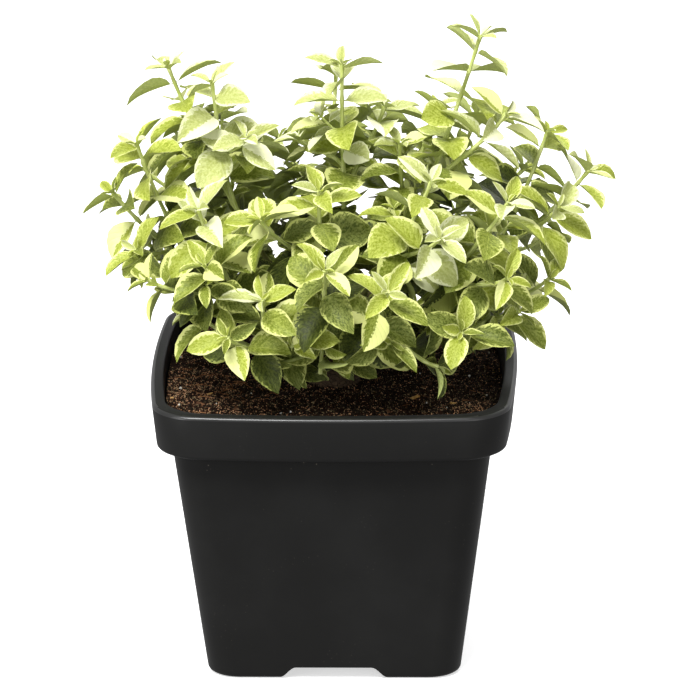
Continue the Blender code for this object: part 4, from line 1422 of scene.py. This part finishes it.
room = Room()
leaves = []
stem_heap = Heap()
shoots = [shoot for _, _, group in plan.values() for shoot in group]
stem_draw = random.Random("stems")


def add_stem(shoot, pairs):
    """Adds the shoot's stem to the joined mesh, and gives its surface too."""
    start = shoot.start - GAP / shoot.path.length
    template, places = stem_surface(shoot, pairs, start)
    stem_heap.add(template.faces, places, window_map(stem_draw, template.map, STEM_WINDOWS))
    return template, places


for name, (_, path, _) in plan.items():
    template, middles, arms = tube_along(
        path, 0, BOUGH_SHARE, FILED_BOUGH_SEGMENT, FILED_BOUGH_SIDES, lambda share: BOUGH_FOOT_RADIUS["outer"]
    )
    room.takes(middles + arms, template.faces, f"{name} 0")
for shoot in shoots:
    template, places = add_stem(shoot, leaf_pairs(shoot))
    room.takes(places, template.faces, shoot.name)
for shoot in shoots:
    grow_leaves(shoot, leaf_pairs(shoot), room, leaves)
for shoot in shoots:
    for twig in side_twigs(shoot):
        pairs = twig_pairs(twig)
        template, places = stem_surface(twig, pairs, 0)
        own = (twig.name, shoot.name, shoot.name.rsplit(" ", 1)[0] + " 0")
        if clear_of_pot(places) and room.takes(places, template.faces, twig.name, own):
            add_stem(twig, pairs)
            grow_leaves(twig, pairs, room, leaves)

stem_skin = Finish("young green stem", Roughness=0.55, Specular_IOR_Level=0.35)
spot = stem_skin.place("UV")
streaks = spot.grain(STEM_WINDOWS * STEM_STREAKS, 3)
stem_skin.feed(
    Base_Color=streaks.rises(0.35, 0.68).mix(STEM_GREEN, STEM_YELLOW),
    Roughness=0.48 + 0.16 * streaks,
)
stems = stem_heap.piece("green_stems", stem_skin.material, "green_stem", SMOOTH_ANGLE)
masses = ["foliage_" + name for name in FOLIAGE]
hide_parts(*masses)

# The leaves' colours. Five tints, each with its green, its pale patches and its cream, dealt out from the
# young tips to the old leaves, and as painted shade from the high outer leaves to the low and inner ones.
# Each leaf takes its pattern from one window of the map.
VEINS = 7
VEIN_SLANT = 0.32
VEIN_WIDTH = (0.02, 0.13)
VEIN_STRENGTH = 0.7
MIDRIB_WIDTH = (0.02, 0.07)
FLOW_ALONG = 15  # the blotches run along the veins: how many along a leaf and across half of it
FLOW_ACROSS = 2.4
SPECKLE_STRETCH = 0.33
SPECKLE_PALES = 0.40
STREAK_PALES = 0.26
ZONE_PALES = 0.32
RIBS_PALE = 0.55
EDGE_CREAM = 0.85
TINTS = (  # name, share of the leaves, green, pale, cream, spread of the pale, chance of a cream half, margin
    ("young", 0.19, (0.38, 0.42, 0.105), (0.62, 0.66, 0.29), (0.78, 0.80, 0.50), 0.60, 0.40, 0.18),
    ("lime", 0.26, (0.24, 0.29, 0.018), (0.54, 0.595, 0.13), (0.77, 0.80, 0.33), 0.53, 0.14, 0.18),
    ("mottled", 0.24, (0.130, 0.170, 0.008), (0.44, 0.49, 0.105), (0.74, 0.77, 0.28), 0.48, 0.10, 0.19),
    ("sage", 0.14, (0.070, 0.098, 0.006), (0.32, 0.36, 0.082), (0.63, 0.67, 0.20), 0.44, 0.05, 0.15),
    ("deep", 0.17, (0.028, 0.040, 0.003), (0.14, 0.17, 0.027), (0.41, 0.45, 0.11), 0.38, 0.03, 0.10),
)
UNDERSIDE = (0.44, 0.50, 0.17)
SPECKLES = 19  # speckles along a leaf
PLANT_RISE = 150 * MM  # from the soil to where the height no longer counts
PLANT_REACH = 110 * MM
TINT_CLOUDS = 28
AGE_DEEPENS = 0.42
# Painted shade: these two give the low leaves and the inner leaves deeper tints.
LOW_PAINTED_SHADE = 0.25
WIDE_DEEPENS = 0.15
INSIDE_PAINTED_SHADE = 0.75
CLOUD_DEEPENS = 0.35
TINT_SPREAD = (-0.2, 0.2)


def leaf_paint(name, green, pale, cream, spread, cream_halves, margin):
    """A variegated leaf, painted over its map: green, speckled paler outwards, with a cream margin."""
    made = Finish(name + " leaf", Roughness=0.5, Specular_IOR_Level=0.26)
    spot = made.place("UV")
    columns = spot.part(0) * LEAF_WINDOWS
    rows = spot.part(1) * LEAF_WINDOWS
    window = spot.node("CombineXYZ", None, {0: columns.math("FLOOR"), 1: rows.math("FLOOR")})
    chance = window.node("TexWhiteNoise", {"noise_dimensions": "2D"}, {"Vector": window}, 1)
    side = (columns.math("FRACT") - 0.5) * (2 / WINDOW_FILL)
    along = (rows.math("FRACT") - 0.5) * (1 / WINDOW_FILL) + 0.5
    off_midrib = abs(side)
    vein_run = along - VEIN_SLANT * off_midrib
    which_window = window.part(0) * 3 + window.part(1) * 17
    blade = spot.node("CombineXYZ", None, {0: along, 1: side * SPECKLE_STRETCH, 2: which_window})
    fine = blade.grain(SPECKLES, 2, 0.6)
    flow_places = {0: vein_run * FLOW_ALONG, 1: side * FLOW_ACROSS, 2: which_window}
    flow = spot.node("CombineXYZ", None, flow_places)
    blotch = flow.grain(1, 3, 0.6)
    vein_phase = abs((vein_run * VEINS + 0.3 * fine).math("FRACT") - 0.5)
    vein = 1 - vein_phase.rises(*VEIN_WIDTH)
    midrib = 1 - off_midrib.rises(*MIDRIB_WIDTH)
    ribs = midrib.math("MAXIMUM", VEIN_STRENGTH * vein)
    speckle = fine.rises(0.46, 0.54)
    zone = (off_midrib * 0.7 + 1.3 * (blotch - 0.5)).rises(0.75 - spread, 1.05 - spread)
    which = (chance.part(1) > 0.5) * 2 - 1
    half = (side * which + 0.5 * (blotch - 0.5) + 0.5 * (fine - 0.5)).rises(0, 0.10)
    half = half * (chance.part(0) > 1 - cream_halves)
    inwards = off_midrib + 0.8 * (blotch - 0.5) + 0.55 * (fine - 0.5) + margin * (0.5 + chance.part(2))
    edge = inwards.rises(0.95, 1.03)
    creamy = half.math("MAXIMUM", EDGE_CREAM * edge)
    streak = blotch.rises(0.40, 0.62)
    colour = (SPECKLE_PALES * speckle + STREAK_PALES * streak + ZONE_PALES * zone).mix(green, pale)
    colour = (RIBS_PALE * ribs * (0.5 + 0.5 * zone)).mix(colour, pale)
    colour = (0.25 * chance.part(2)).mix(colour, green)
    colour = creamy.mix(colour, cream)
    beneath = rows > LEAF_WINDOWS - 1
    underside = (0.4 * ribs + 0.35 * speckle).mix(UNDERSIDE, pale)
    made.feed(
        Base_Color=beneath.mix(colour, underside),
        Roughness=0.42 + 0.16 * fine + 0.12 * beneath,
        Normal=(0.35 * fine - 0.8 * ribs + 0.5 * vein_phase).relief(0.5, 0.22 * MM),
    )
    return made.material


def tint_depth_and_painted_shade(leaf, draw):
    """How deep a leaf's tint is beside the others': the old and furthest out are deepest, and the low and
    inner ones are deepened as painted shade.
    """
    x, y, z = leaf.root
    low = 1 - (z - SOIL_LEVEL) / PLANT_RISE
    wide = abs(x) / PLANT_REACH
    inside = 1 - (Vector(leaf.root) - LEAF_CENTRE).length / PLANT_REACH
    cloud = noise.noise(Vector(leaf.root) * TINT_CLOUDS)
    # The low and inside terms are painted shade: they deepen the tints of leaves low in the plant and near
    # its middle.
    depth = AGE_DEEPENS * leaf.age + LOW_PAINTED_SHADE * low + WIDE_DEEPENS * wide**2
    depth += INSIDE_PAINTED_SHADE * inside + CLOUD_DEEPENS * cloud
    return depth + draw.uniform(*TINT_SPREAD)


draw = random.Random("tints")
leaves.sort(key=lambda leaf: tint_depth_and_painted_shade(leaf, draw))
first = 0
for name, share, *colours in TINTS:
    last = first + round(share * len(leaves))
    heap = Heap()
    for leaf in leaves[first:last]:
        heap.add(leaf_mesh.faces, leaf.places(leaf_mesh), leaf.corner_map(leaf_mesh))
    first = last
    piece = heap.piece(name + "_leaves", leaf_paint(name, *colours), "variegated_leaf", LEAF_SMOOTH_ANGLE)
    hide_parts(*masses)


# The size that the scene ends with, beside the size that the CAD has.
sizes = {"cad": cad_box, "scene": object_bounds()}
{name: [list(corner) for corner in box] for name, box in sizes.items()}
